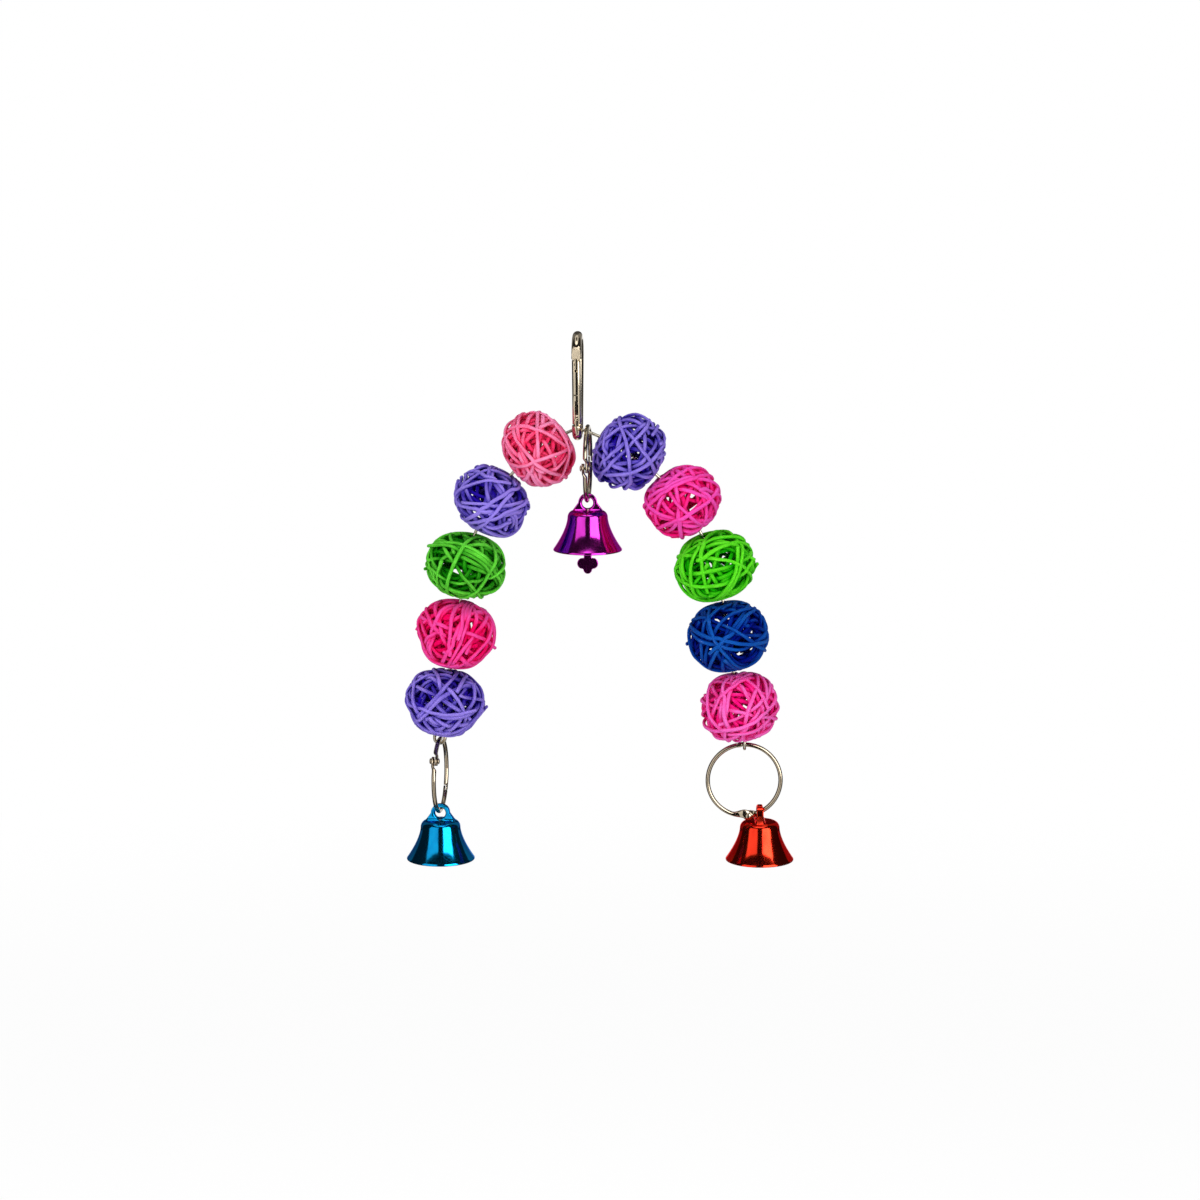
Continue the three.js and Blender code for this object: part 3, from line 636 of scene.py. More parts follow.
def half_wire(side):
    """The wire from the crown to the end of the eye on one side."""
    crown = joint_place("arch_swing")
    first_axis = joint_axis(f"ball_{side}_1_spin")
    chord = unit(joint_place(f"ball_{side}_1_spin") - crown)
    leaving = 2 * chord.dot(first_axis) * chord - first_axis
    places = [crown, crown + CROWN_BEND * leaving]
    ways = [np.array([SIDES[side], 0.0, 0.0]), leaving]
    for number in range(1, BALLS_A_SIDE + 1):
        places.append(joint_place(f"ball_{side}_{number}_spin"))
        ways.append(joint_axis(f"ball_{side}_{number}_spin"))
    across = np.array([-1.0, 0, 0]) if side == "left" else np.array([0, -1.0, 0])
    eye = joint_place(f"ring_{side}_swing")
    eye[2] += EYE_R - WIRE_R - LOOSE - RING_WIRE_R
    places.append(eye + across * EYE_R)
    ways.append(np.array([0, 0, -1.0]))
    path = [stretch(a, u, b, v) for a, u, b, v in zip(places, ways, places[1:], ways[1:])]
    angle = np.linspace(0, EYE_SWEEP, EYE_STEPS)[:, None]
    path.append(eye + EYE_R * (np.cos(angle) * across - np.sin(angle) * np.array([0, 0, 1.0])))
    return np.vstack(path)


wire_path = np.vstack([half_wire("left")[:0:-1], half_wire("right")])
piece("arch_wire_bent", sweep(wire_path, WIRE_R, WIRE_R), BRIGHT_WIRE, "arch", "arch_wire")
print("wire:", len(wire_path), "stations")

# %% [markdown]
# A vine ball is wound by hand from many shoots, over and under each other in no order, while they are wet
# and soft. A regular weave would look like basketwork, and a tangle of free curves would cut
# through itself. So the strands are laid as drifting windings round a lumpy shell, and then settled: where
# two of them touch, each is pushed off the other, bends are smoothed, and the shell keeps all of it in.
# The same seed gives the same ball each time.

# %% Winding and settling
STATION = 1.65
FULLNESS = 2.35
BENT_OPENING = 3.4
STRAIGHT_OPENING = 2.5
LAST_OPENING = 5.2
SETTLING_STEPS = 60
POLISH_STEPS = 12
LAYERS = [(9, 1.4, 0.3), (9, 1.3, 2.0), (8, 1.3, 4.0)]
FLAT_COUNT = 11
FLAT_POWER = 14
FLAT_REACH = 1.12
DEEPEST_FLAT = 0.88
TURN_SPREAD = (0.8, 1.2)
CORNER_ANGLES = (0.32, 0.48)
DEEPEST_STRAND = 6
PAIR_STEPS = 6
PAIR_MARGIN = 1.2
PUSH = 0.3
CORE_R = 9.5


def spread_directions(count, rng):
    """Directions spread over half a sphere, each moved a little."""
    number = np.arange(count) + 0.5
    height = number / count
    turn = np.pi * (1 + 5**0.5) * number + rng.uniform(0, 6)
    ring = np.sqrt(1 - height**2)
    even = np.stack([ring * np.cos(turn), ring * np.sin(turn), height], 1)
    return unit(even + rng.normal(0, 0.16, even.shape))


def turned_about(vectors, axis, angles):
    cos, sin = np.cos(angles)[:, None], np.sin(angles)[:, None]
    return vectors * cos + np.cross(axis, vectors) * sin + axis * (vectors @ axis)[:, None] * (1 - cos)


class Shell:
    """The outside of a ball: flats and rounded corners on a cushion whose Z axis is the wire."""

    def __init__(self, rng, radius, half_heights):
        self.radius, self.half_heights = radius, half_heights
        self.flats = unit(rng.normal(size=(FLAT_COUNT, 3)))

    def reach(self, ways):
        half_height = np.where(ways[:, 2] < 0, self.half_heights[0], self.half_heights[1])
        across = np.linalg.norm(ways[:, :2], axis=1) / self.radius
        along = np.abs(ways[:, 2]) / half_height
        cushion = (across**FULLNESS + along**FULLNESS) ** (-1 / FULLNESS)
        facing = np.clip(ways @ self.flats.T, 0, 1) ** FLAT_POWER
        lump = (facing.sum(1) + 1e-6) ** (-1 / FLAT_POWER)
        dent = 1 - np.clip(lump / FLAT_REACH, DEEPEST_FLAT, 1)
        return cushion * (1 - dent * np.clip(2 - 2.4 * np.abs(ways[:, 2]), 0, 1))


def wind(rng, shell):
    """Strands as windings whose plane drifts, layer on layer. Gives points and the strand of each."""
    points, owner = [], []
    for count, turns, layer in LAYERS:
        for normal in spread_directions(count, rng):
            u = unit(np.cross(normal, unit(rng.normal(size=3))))
            v = np.cross(normal, u)
            t = np.arange(0, 2 * np.pi * turns * rng.uniform(*TURN_SPREAD), STATION / shell.radius)
            lead = rng.uniform(0, 2 * np.pi)
            corner = rng.uniform(*CORNER_ANGLES)
            chord = np.cos(corner) / np.cos((t + lead) % (2 * corner) - corner)
            ways = np.cos(t + lead)[:, None] * u + np.sin(t + lead)[:, None] * v
            for rate in (rng.uniform(0.05, 0.12), rng.uniform(-0.1, 0.1)):
                ways = turned_about(ways, unit(rng.normal(size=3)), rate * t)
            wander = 0.14 * np.sin(0.6 * t + rng.uniform(0, 6)) + 0.04 * np.sin(1.9 * t + rng.uniform(0, 6))
            ways = unit(ways + wander[:, None] * normal)
            depth = layer + 0.6 * np.sin(0.9 * t + rng.uniform(0, 6)) + rng.uniform(-0.4, 0.4)
            chord = 1 - (1 - chord) * (1 - ways[:, 2] ** 2)
            points.append(ways * (shell.reach(ways) * chord - np.clip(depth, 0, DEEPEST_STRAND))[:, None])
            owner.append(np.full(len(t), len(owner)))
    return np.vstack(points), np.concatenate(owner)


def smoothed(points, owner, step, weight):
    """Each point moved towards the middle of its neighbours a few stations off, then back a little more."""
    inside = np.flatnonzero(owner[2 * step:] == owner[:-2 * step]) + step
    for share in (weight, -1.03 * weight):
        middle = (points[inside - step] + points[inside + step]) / 2
        points[inside] += share * (middle - points[inside])
    return points


def settle(points, owner, shell, thick, openings):
    """Push touching strands apart, keep them smooth, inside the shell and clear of the wire."""
    count = len(points)
    for step in range(SETTLING_STEPS + POLISH_STEPS):
        if step % PAIR_STEPS == 0:
            size = (points**2).sum(1)
            square = size[:, None] + size[None, :] - 2 * points @ points.T
            i, j = np.nonzero(np.triu(square < (2 * thick.max() + PAIR_MARGIN) ** 2, 4))
            keep = (owner[i] != owner[j]) | (j - i > 5)
            pairs = i[keep], j[keep]
        i, j = pairs
        apart = points[i] - points[j]
        distance = np.linalg.norm(apart, axis=1) + 1e-9
        short = np.clip(thick[i] + thick[j] - distance, 0, None)
        push = apart * (PUSH * short / distance)[:, None]
        move = [np.bincount(i, push[:, k], count) - np.bincount(j, push[:, k], count) for k in range(3)]
        points = points + np.stack(move, 1)
        if step < SETTLING_STEPS:
            points = smoothed(smoothed(points, owner, 3, 0.2), owner, 1, 0.5)
        ways = unit(points)
        outside = shell.reach(ways) - thick
        points = ways * np.clip(np.linalg.norm(points, axis=1), CORE_R, outside)[:, None]
        off_axis = np.linalg.norm(points[:, :2], axis=1) + 1e-9
        opening = np.where(points[:, 2] > 0, openings[1], openings[0])
        points[:, :2] *= np.maximum(opening / off_axis, 1)[:, None]
    return smoothed(smoothed(points, owner, 1, 0.4), owner, 1, 0.4)


print("layers:", [f"{count} strands of {turns} turns" for count, turns, depth in LAYERS])

# %% [markdown]
# Each settled strand becomes a tube. Vine is not drawn to a gauge: it swells and thins along its length
# and tapers at its cut ends. The tube carries the strand coordinate, a painted shade share that is lower
# deep in the ball and on the inward faces, and the strand's own tone, which the vine finish uses.

# %% Vine balls
STRAND_SIDES = 8
STRAND_R = 0.86
SPRUNG = 1.7
RIDGES = 0.07
CORNER_REACH = 1.0
GAUGE_SPREAD = (0.92, 1.08)
SECTION = (0.92, 1.08)
END_STEP = 0.12
END_TAPER = 0.78
SPRUNG_BELT = 0.4
SPRUNG_DEPTH = 2.5
SPRUNG_SHARES = np.array([[1], [0.6], [0.28], [0.07]])
END_GROWTH = {"left": (0, 0.5, 0.4, 0.3, 0, 0), "right": (0, 0.6, 0.6, 0.3, 0, 0)}


def ease(share):
    share = np.clip(share, 0, 1)
    return share * share * (3 - 2 * share)


def ball_axes(axis):
    """Rows x, y, z of a frame whose z is the wire's direction, with y across the arch."""
    across = np.array([0.0, 1.0, 0.0])
    return np.stack([np.cross(across, axis), across, axis])


def sprung_ends(path, shell):
    """A strand whose ends stand out a little where they lie near the belt of the ball."""
    for end in (slice(0, 4), slice(-1, -5, -1)):
        ways = unit(path[end])
        depth = shell.reach(ways)[0] - np.linalg.norm(path[end][0])
        if abs(ways[0, 2]) < SPRUNG_BELT and depth < SPRUNG_DEPTH:
            path[end] += ways * SPRUNG * SPRUNG_SHARES
    return path


def strand_tube(rng, path, radius, shell, tone):
    """Points, faces, strand coordinates, painted shade shares and tone of one strand."""
    near_start = path[0] + END_STEP * (path[1] - path[0])
    near_end = path[-1] + END_STEP * (path[-2] - path[-1])
    path = np.vstack([path[0], near_start, path[1:-1], near_end, path[-1]])
    length = np.concatenate([[0], np.cumsum(np.linalg.norm(np.diff(path, axis=0), axis=1))])
    swell = 1 + 0.06 * np.sin(length / 7 + rng.uniform(0, 6))
    swell = swell + 0.04 * np.sin(length / 2.9 + rng.uniform(0, 6))
    swell[[0, -1]] *= END_TAPER
    wide, thick = [share * radius * swell for share in SECTION]
    points, faces = sweep(path, wide, thick, -path[0], STRAND_SIDES)
    middle = np.repeat(path, STRAND_SIDES, 0)
    waves = length[:, None] / rng.uniform(2.5, 6, STRAND_SIDES) + rng.uniform(0, 6, STRAND_SIDES)
    points = middle + (points - middle) * (1 + RIDGES * np.sin(waves)).reshape(-1, 1)
    # Painted shade: the outer share is lower for strands deep below the shell and for the faces that turn inwards.
    depth = shell.reach(unit(middle)) - np.linalg.norm(middle, axis=1)
    crown = (unit(points - middle) * unit(middle)).sum(1)
    outer = np.clip(1.25 - depth / 2.5, 0, 1) * (0.4 + 0.6 * ease((crown + 0.3) / 1.1))
    around = np.tile(np.arange(STRAND_SIDES) / STRAND_SIDES, len(path))
    return points, faces, np.column_stack([np.repeat(length, STRAND_SIDES), around]), outer, tone


def vine_ball(side, number):
    node = f"ball_{side}_{number}"
    centre, axes = joint_place(node + "_spin"), ball_axes(joint_axis(node + "_spin"))
    solid = (node_points(node) - centre) @ axes.T
    half_height = np.abs(solid[:, 2]).max()
    radius = np.linalg.norm(solid[:, :2], axis=1).max()
    rng = np.random.default_rng(40 * number + (7 if side == "left" else 23))
    half_heights = half_height + np.array(END_GROWTH[side][number - 1:number + 1])
    shell = Shell(rng, radius + CORNER_REACH, half_heights)
    points, owner = wind(rng, shell)
    strands = owner[-1] + 1
    gauge = STRAND_R * rng.uniform(*GAUGE_SPREAD, strands)
    opening = BENT_OPENING if number < 4 else STRAIGHT_OPENING
    openings = (opening, LAST_OPENING if number == BALLS_A_SIDE else opening)
    points = settle(points, owner, shell, gauge[owner], openings)
    tubes = []
    for strand in range(strands):
        tone = rng.uniform(0, 1)
        path = points[owner == strand]
        path = path if number == 1 else sprung_ends(path, shell)
        tubes.append(strand_tube(rng, path, gauge[strand], shell, tone))
    part = joined([placed(tube[:2], axes, centre) for tube in tubes])
    ball = piece(node + "_vine", part, VINE[SLOTS[node]], node, node)
    mesh = ball.data
    # The outer share paints shade into the vine colour; the tone varies at random from strand to strand.
    for name, values in (("outer", np.concatenate([tube[3] for tube in tubes])),
                         ("tone", np.concatenate([np.full(len(tube[0]), tube[4]) for tube in tubes]))):
        layer = mesh.attributes.new(name, "FLOAT", "POINT")
        layer.data.foreach_set("value", values.astype(np.float32))
    corner_points = np.empty(len(mesh.loops), np.int32)
    mesh.loops.foreach_get("vertex_index", corner_points)
    coordinates = np.concatenate([tube[2] for tube in tubes])[corner_points]
    mesh.uv_layers.new(name="strand").data.foreach_set("uv", coordinates.astype(np.float32).ravel())
    return ball


for side in SIDES:
    for number in range(1, BALLS_A_SIDE + 1):
        ball = vine_ball(side, number)
        print(ball.name, len(ball.data.polygons), "faces")

# %% [markdown]
# A loose-leaf ring is two half rings of round wire. At one end both are flattened into a leaf and riveted
# through, one leaf lying on the other, and at the free ends each is cut to half its thickness so that they
# lap and snap shut. A half is modelled in the ring's own frame, with the rivet on X, and the other half is
# turned over. The leaf of the opening half is longer and widens inwards only, to pass the bell's lug.

# %% Hinged rings
RING_R = 17.9
HINGE_EYE_R = 2.3
HINGE_PLATE = 1.5
LAP = math.radians(3.5)
LEAVES = {"hanging_half": (4.2, 0), "opening_half": (7.5, 1)}
RIVET_R = 0.65
RIVET_HEAD_R = 1.45
RIVET_HEAD = 0.75
MID_GAP = LOOSE / 2
RING_SIDES = 20
LEAF_START = 0.4
LEAF_THINNING = 2.2
LAP_TIP = 0.45
RIVET_EDGE = 0.22


def rod(radius, low, high, sides=24, rounding=0.0):
    """A rod along Z, with rounded ends when a rounding is given."""
    turn = np.linspace(0, np.pi / 2, 5) if rounding else np.array([0.0])
    rim = [(radius - rounding + rounding * math.sin(t), low + rounding - rounding * math.cos(t))
           for t in turn]
    end = [(r, high + low - z) for r, z in reversed(rim)]
    return turned([(0, low)] + rim + end + [(0, high)], sides)


def ring_half(leaf_length, inwards):
    """One half of a ring. Its hinge leaf widens to both sides (0) or inwards only (1)."""
    lap_start = math.pi - math.asin(math.sin(LAP) + LOOSE / RING_R)
    angle = np.concatenate([
        np.arcsin(np.linspace(-1, 1, 15)) / (np.pi / 2) * HINGE_EYE_R / RING_R,
        np.linspace(HINGE_EYE_R * 1.15 / RING_R, lap_start - 0.012, 90),
        np.linspace(lap_start, math.pi + LAP, 8),
    ])
    run = angle * RING_R
    round_eye = np.sqrt(np.clip(HINGE_EYE_R**2 - np.minimum(run, 0) ** 2, 0.02, None))
    leaf = ease((run - HINGE_EYE_R * LEAF_START) / leaf_length)
    lapped = np.where(angle >= lap_start, 1.0, 0.0)
    end = np.clip((math.pi + LAP - angle) * RING_R / LAP_TIP, 0.04, 1) ** 0.5
    wide = np.where(run < 0, round_eye, HINGE_EYE_R + (RING_WIRE_R - HINGE_EYE_R) * leaf) * end
    plain = ease((run - HINGE_EYE_R - LOOSE) / LEAF_THINNING)
    lap_half = (RING_WIRE_R - MID_GAP) / 2
    thick = HINGE_PLATE / 2 + (RING_WIRE_R - HINGE_PLATE / 2) * plain
    thick = thick + (lap_half - thick) * lapped
    rise = -(MID_GAP + HINGE_PLATE / 2) * (1 - plain) - (MID_GAP + lap_half) * lapped
    reach = RING_R - inwards * np.maximum(wide - RING_WIRE_R, 0) * ease(run / (HINGE_EYE_R * 0.9))
    path = np.column_stack([reach * np.cos(angle), reach * np.sin(angle), np.zeros(len(angle))])
    points, faces = sweep(path, thick, wide, sides=RING_SIDES)
    points[:, 2] += np.repeat(rise, RING_SIDES)
    return points, faces


def ring_frame(name):
    """Rows of a ring's frame, from its rivet and its hinge axis, and its middle."""
    if name == "centre":
        middle = joint_place("bell_centre_swing") + [0, 0, RING_R]
    else:
        middle = joint_place(f"ring_{name}_swing") - [0, 0, RING_R]
    hinge = unit(joint_place(f"ring_{name}_open") - middle)
    normal = joint_axis(f"ring_{name}_open")
    return np.stack([hinge, np.cross(normal, hinge), normal]), middle


def rivet():
    grip = MID_GAP + HINGE_PLATE + MID_GAP
    dome = [(RIVET_HEAD_R * math.cos(t), grip + RIVET_EDGE + (RIVET_HEAD - RIVET_EDGE) * math.sin(t))
            for t in np.linspace(0, math.pi / 2, 7)[:-1]]
    upper = [(RIVET_R, grip), (RIVET_HEAD_R - 0.1, grip), (RIVET_HEAD_R, grip + 0.1)] + dome
    return moved(spool(upper, grip + RIVET_HEAD, 28), (RING_R, 0, 0))


BELLS = ("centre", "left", "right")
hole = moved(rod(RIVET_R + LOOSE, -4, 4), (RING_R, 0, 0))
for name in BELLS:
    axes, middle = ring_frame(name)
    halves = {"hanging_half": (f"ring_{name}", axes),
              "opening_half": (f"ring_{name}_opening", axes * np.array([[1], [-1], [-1]]))}
    for half, (body, half_axes) in halves.items():
        node = f"ring_{name}_{half}"
        flat = carved(node, ring_half(*LEAVES[half]), [("DIFFERENCE", hole)])
        flat.transform(place_matrix(half_axes, middle))
        piece(node + "_wire", flat, RING_NICKEL, body, node)
    node = f"ring_{name}_rivet"
    piece(node + "_domed", placed(rivet(), axes, middle), RING_NICKEL, f"ring_{name}", node)
print("rings:", len(BELLS), "of three pieces")

# %% [markdown]
# A bell is pressed from a disc: a flat crown with a rounded shoulder, sides that flare, and a rim turned
# down at the edge. Its profile is turned about the axis, outside and inside, so that the wall has a true
# thickness. The lug on top is pinched from a strip that fans out into the crown, with the hole for the ring
# pressed through it and its edge rolled over.

# %% Bells
BELL_RIM_R = 16.75
BELL_RIM_EDGE = 0.6
BELL_WALL = 0.9
BELL_CROWN_Z = 19.6
BELL_CROWN_R = 9.8
BELL_CORNER = 3.3
BELL_FLARE = 1.58
LUG_HOLE_Z = 23.3
LUG_HOLE_R = 2.65
LUG_R = 4.6
LUG_THICK = 3.4
LUG_FOOT = 7.8
LUG_FILLET = 1.8
LUG_ROLL = 0.8
STAPLE_R = 0.5
STAPLE_HALF = 2.0
STAPLE_Z = 16.0
STAPLE_TOP = 20.4
STAPLE_BEND = 1.0
BELL_LIP = [(0.0, 0.28), (0.1, 0.08), (0.3, 0.0), (0.6, 0.0), (0.82, 0.1), (0.9, 0.3)]
LUG_SEAT = BELL_CROWN_Z - 0.6
LUG_WAIST = (1.2, -1.7)
LUG_EDGE = 0.3
SIDE_STEP = 0.1
FILLET_RISE = 2.6
CREST_DROP = 2.4
CREST_LEAST = 0.2
HOLE_FLAT = 0.3
CUT_HALF = 6
BELL_AXIS = {"centre": 1, "left": 1, "right": -1}


def bell_frame(name):
    """Rows of a bell's frame, and the middle of its rim."""
    across = joint_axis(f"clapper_{name}_swing") * BELL_AXIS[name]
    axes = np.stack([np.cross(across, [0, 0, 1]), across, [0, 0, 1]])
    return axes, joint_place(f"clapper_{name}_swing") - [0, 0, STAPLE_Z]


def bell_profile():
    side_top = BELL_CROWN_Z - BELL_CORNER
    corner = [(BELL_CROWN_R - BELL_CORNER * (1 - math.cos(t)), side_top + BELL_CORNER * math.sin(t))
              for t in np.linspace(math.pi / 2, 0, 10)]
    flare, drop = BELL_RIM_R - BELL_CROWN_R, BELL_RIM_EDGE - side_top
    side = [(BELL_CROWN_R + flare * s**BELL_FLARE, side_top + drop * s) for s in np.linspace(0, 1, 26)[1:]]
    outer = np.array([(0.0, BELL_CROWN_Z)] + corner + side)
    inner = outer[1:-1][::-1] - [BELL_WALL, BELL_WALL * 0.45]
    inner[:, 0] = np.maximum(inner[:, 0], 0.5)
    lip = [(BELL_RIM_R - inset, height) for inset, height in BELL_LIP]
    return np.vstack([outer, lip, inner, [(0.0, BELL_CROWN_Z - BELL_WALL)]])[::-1]


def rounded_box(half_wide, half_thick, rounding):
    """A rectangle with rounded corners, and a point close to each end of its straight sides."""
    turn = np.linspace(0, np.pi / 2, 5)
    bow = np.column_stack([np.cos(turn), np.sin(turn)]) * rounding
    bow = np.vstack([[rounding, -SIDE_STEP], bow, [-SIDE_STEP, rounding]])
    corner = np.array([half_wide - rounding, half_thick - rounding])
    right = np.vstack([bow[::-1] * [1, -1] + corner * [1, -1], bow + corner])
    return np.vstack([right, -right])


def lug():
    """The pinched strip, as a stack of rounded sections from the crown to the top of the loop."""
    start, end = np.array([LUG_FOOT, LUG_SEAT]), np.array([LUG_R, LUG_HOLE_Z])
    bend = end + LUG_WAIST
    rise = [(1 - t) ** 2 * start + 2 * t * (1 - t) * bend + t * t * end for t in np.linspace(0, 1, 18)]
    over = arc(LUG_R, (0, LUG_HOLE_Z), 0, 1.5, 16)[1:]
    rows = []
    for half_wide, height in rise + over:
        fillet = LUG_FILLET * (1 - min((height - LUG_SEAT) / FILLET_RISE, 1)) ** 2
        crest = min((LUG_HOLE_Z + LUG_R - height) / CREST_DROP, 1)
        full = CREST_LEAST + (1 - CREST_LEAST) * math.sqrt(1 - (1 - crest) ** 2)
        thick = LUG_THICK / 2 * full + fillet
        flat = rounded_box(half_wide, thick, min(LUG_EDGE + fillet, half_wide * 0.5))
        rows.append(np.column_stack([flat, np.full(len(flat), height)]))
    return np.vstack(rows), tube_faces(len(rows), len(rows[0]))


def rolled_hole():
    """The cutter of the lug's hole, wider at both faces so that its edge is rolled."""
    deep = LUG_THICK / 2 - HOLE_FLAT
    roll = [(LUG_HOLE_R + LUG_ROLL * (1 - math.cos(t)), HOLE_FLAT + deep * math.sin(t))
            for t in np.linspace(0, math.pi / 2, 9)]
    return laid(spool(roll + [(LUG_HOLE_R + LUG_ROLL, CUT_HALF)], CUT_HALF, 48), LUG_HOLE_Z)


def staple():
    bend = STAPLE_BEND
    path = [(0, -STAPLE_HALF, z) for z in np.linspace(STAPLE_TOP, STAPLE_Z + bend, 6)[:-1]]
    for middle, first in ((-STAPLE_HALF + bend, math.pi), (STAPLE_HALF - bend, 1.5 * math.pi)):
        corner = arc(bend, (middle, STAPLE_Z + bend), first, first + math.pi / 2, 8)
        path += [(0, y, z) for y, z in corner]
    path += [(0, STAPLE_HALF, z) for z in np.linspace(STAPLE_Z + bend, STAPLE_TOP, 6)[1:]]
    return sweep(path, STAPLE_R, STAPLE_R, start=(1, 0, 0), sides=14)


for name in BELLS:
    axes, rim = bell_frame(name)
    node = f"bell_{name}_shell"
    socket = rod(STAPLE_R + LOOSE, 0, STAPLE_TOP + LOOSE)
    steps = [("UNION", lug()), ("DIFFERENCE", rolled_hole())]
    steps += [("DIFFERENCE", moved(socket, (0, y, 0))) for y in (STAPLE_HALF, -STAPLE_HALF)]
    shell = carved(node, turned(bell_profile(), 96), steps)
    shell.transform(place_matrix(axes, rim))
    piece(node + "_pressed", shell, LACQUER[name], f"bell_{name}", node)
    node = f"bell_{name}_staple"
    piece(node + "_bent", placed(staple(), axes, rim), NICKEL, f"bell_{name}", node)
print("bells:", len(BELLS))

# %% [markdown]
# Each clapper is a flat clover stamped from sheet and lacquered with its bell. Its outline is the union of
# a few circles and a stem, found here by taking the widest of them at each height, and rings of that
# outline make a plate with rounded edges.

# %% Clappers
CLAPPER_THICK = 1.1
CLAPPER_EYE_R = 2.2
CLAPPER_HOLE_R = 1.15
CLAPPER_STEM = 3.8
CLAPPER_LOBE_R = 2.7
CLAPPER_LOBE_X = 2.4
CLAPPER_TIP_R = 2.1
CLAPPER_LOBE_RISE = 5.1
CLAPPER_EDGE = 0.22
CLAPPER_TIP = {"centre": -11.6, "left": -2.0, "right": -2.0}


def plate(outline, thick, rounding):
    """A plate from an outline in X and Z that runs anticlockwise, with rounded edges, about Y = 0."""
    outline = np.asarray(outline, float)
    along = unit(np.roll(outline, -1, 0) - np.roll(outline, 1, 0))
    inward = np.column_stack([-along[:, 1], along[:, 0]])
    turn = np.linspace(0, np.pi / 2, 4)
    inset = np.concatenate([[1.4], 1 - np.sin(turn)]) * rounding
    level = np.concatenate([[0], 1 - np.cos(turn)]) * rounding - thick / 2
    inset, level = np.concatenate([inset, inset[::-1]]), np.concatenate([level, -level[::-1]])
    rows = []
    for back, y in zip(inset, -level):
        flat = outline + inward * back
        rows.append(np.column_stack([flat[:, 0], np.full(len(flat), y), flat[:, 1]]))
    return np.vstack(rows), tube_faces(len(rows), len(outline))


def clapper_outline(tip, eye_z):
    """Right half from the tip upwards, then its mirror image."""
    lobe_z, tip_z, stem = tip + CLAPPER_LOBE_RISE, tip + CLAPPER_TIP_R, CLAPPER_STEM / 2
    heights = np.concatenate([tip + CLAPPER_TIP_R * (1 - np.cos(np.linspace(0.08, 1.5, 10))),
                              np.linspace(tip_z + 0.3, lobe_z + CLAPPER_LOBE_R, 26),
                              np.linspace(lobe_z + CLAPPER_LOBE_R + 0.3, eye_z - 1.2, 8),
                              eye_z + CLAPPER_EYE_R * np.sin(np.linspace(-0.5, 1.48, 14))])
    half = []
    for z in heights:
        widths = [0.05]
        for r, x, middle in ((CLAPPER_TIP_R, 0, tip_z), (CLAPPER_LOBE_R, CLAPPER_LOBE_X, lobe_z),
                             (CLAPPER_EYE_R, 0, eye_z)):
            if abs(z - middle) < r:
                widths.append(x + math.sqrt(r * r - (z - middle) ** 2))
        if tip_z < z < eye_z:
            widths.append(stem)
        half.append((max(widths), z))
    half = np.array(half)
    return np.vstack([half, half[::-1] * [-1, 1]])


eye_z = STAPLE_Z - (CLAPPER_HOLE_R - STAPLE_R - LOOSE)
bore = laid(rod(CLAPPER_HOLE_R, -3, 3), eye_z)
for name in BELLS:
    axes, rim = bell_frame(name)
    node = f"bell_{name}_clapper"
    clover = plate(clapper_outline(CLAPPER_TIP[name], eye_z), CLAPPER_THICK, CLAPPER_EDGE)
    clover = carved(node, clover, [("DIFFERENCE", bore)])
    clover.transform(place_matrix(axes, rim))
    piece(node + "_stamped", clover, LACQUER[name], f"clapper_{name}", node)
print("clappers:", len(BELLS))

# %% [markdown]
# The snap hook is one bar bent into a long eye that stands edge-on to the viewer. The front leg is the
# gate: a shorter bar, forked at its foot round a flattened tongue of the body, and slotted at its head for
# the nose. A pin holds the fork, a small pin crosses the head, and a coil spring with a plunger hides
# inside. The bar is swept; slots and holes are cut afterwards, as they would be in the workshop.

# %% Snap hook body
HOOK_BAR_R = 2.4
HOOK_TOP_R = 9.2
HOOK_FOOT_R = 5.2
GATE_R = 2.15
GATE_TOP = 0.5
GATE_PIN_Z = -29.8
GATE_FORK_TOP = -20.0
FORK_TONGUE = 1.5
NOSE_TONGUE = 1.3
NOSE_TONGUE_LENGTH = 4.6
PIN_R = 0.6
CATCH_PIN_R = 0.5
CATCH_PIN_Y = 1.2
TONGUE_HALF = 1.5
TONGUE_EDGE = 0.18
NOSE_EDGE = 0.15
NOSE_FLAT_TILT = math.radians(12)
NOSE_FLAT_Y = -1.5
BAR_EDGE = 0.35
SAME_WAY = 0.995

crown_z = joint_place("arch_swing")[2]
hook_top_z = -(HOOK_TOP_R - HOOK_BAR_R)
hook_foot_z = crown_z - WIRE_R - LOOSE + HOOK_FOOT_R - HOOK_BAR_R
lean = math.asin((HOOK_TOP_R - HOOK_FOOT_R) / (hook_top_z - hook_foot_z))
leg_length = (hook_top_z - hook_foot_z) * math.cos(lean)
fork_shoulder = GATE_PIN_Z - GATE_R - 0.5
pin_way = joint_axis("gate_pivot")
hook_turn = Matrix.Rotation(math.atan2(-pin_way[1], -pin_way[0]), 4, "Z")
gate_place = Matrix.Translation((0, -HOOK_TOP_R * math.cos(lean), hook_top_z - HOOK_TOP_R * math.sin(lean)))
gate_frame = gate_place @ Matrix.Rotation(lean, 4, "X")
hook_gate = hook_turn @ gate_frame


def in_frame(part, place):
    points, faces = part
    turn = np.array(place.to_3x3())
    return points @ turn.T + np.array(place.translation), faces


def hook_path():
    bends = arc(HOOK_TOP_R, (0, hook_top_z), math.pi + lean, -lean, 40)
    bends += arc(HOOK_FOOT_R, (0, hook_foot_z), -lean, -math.pi + lean, 32)
    path = [(0, y, z) for y, z in bends]
    rise = leg_length + fork_shoulder
    foot = np.array(path[-1])
    path.append(foot + np.array([0, -math.sin(lean), math.cos(lean)]) * rise)
    return np.array(path)


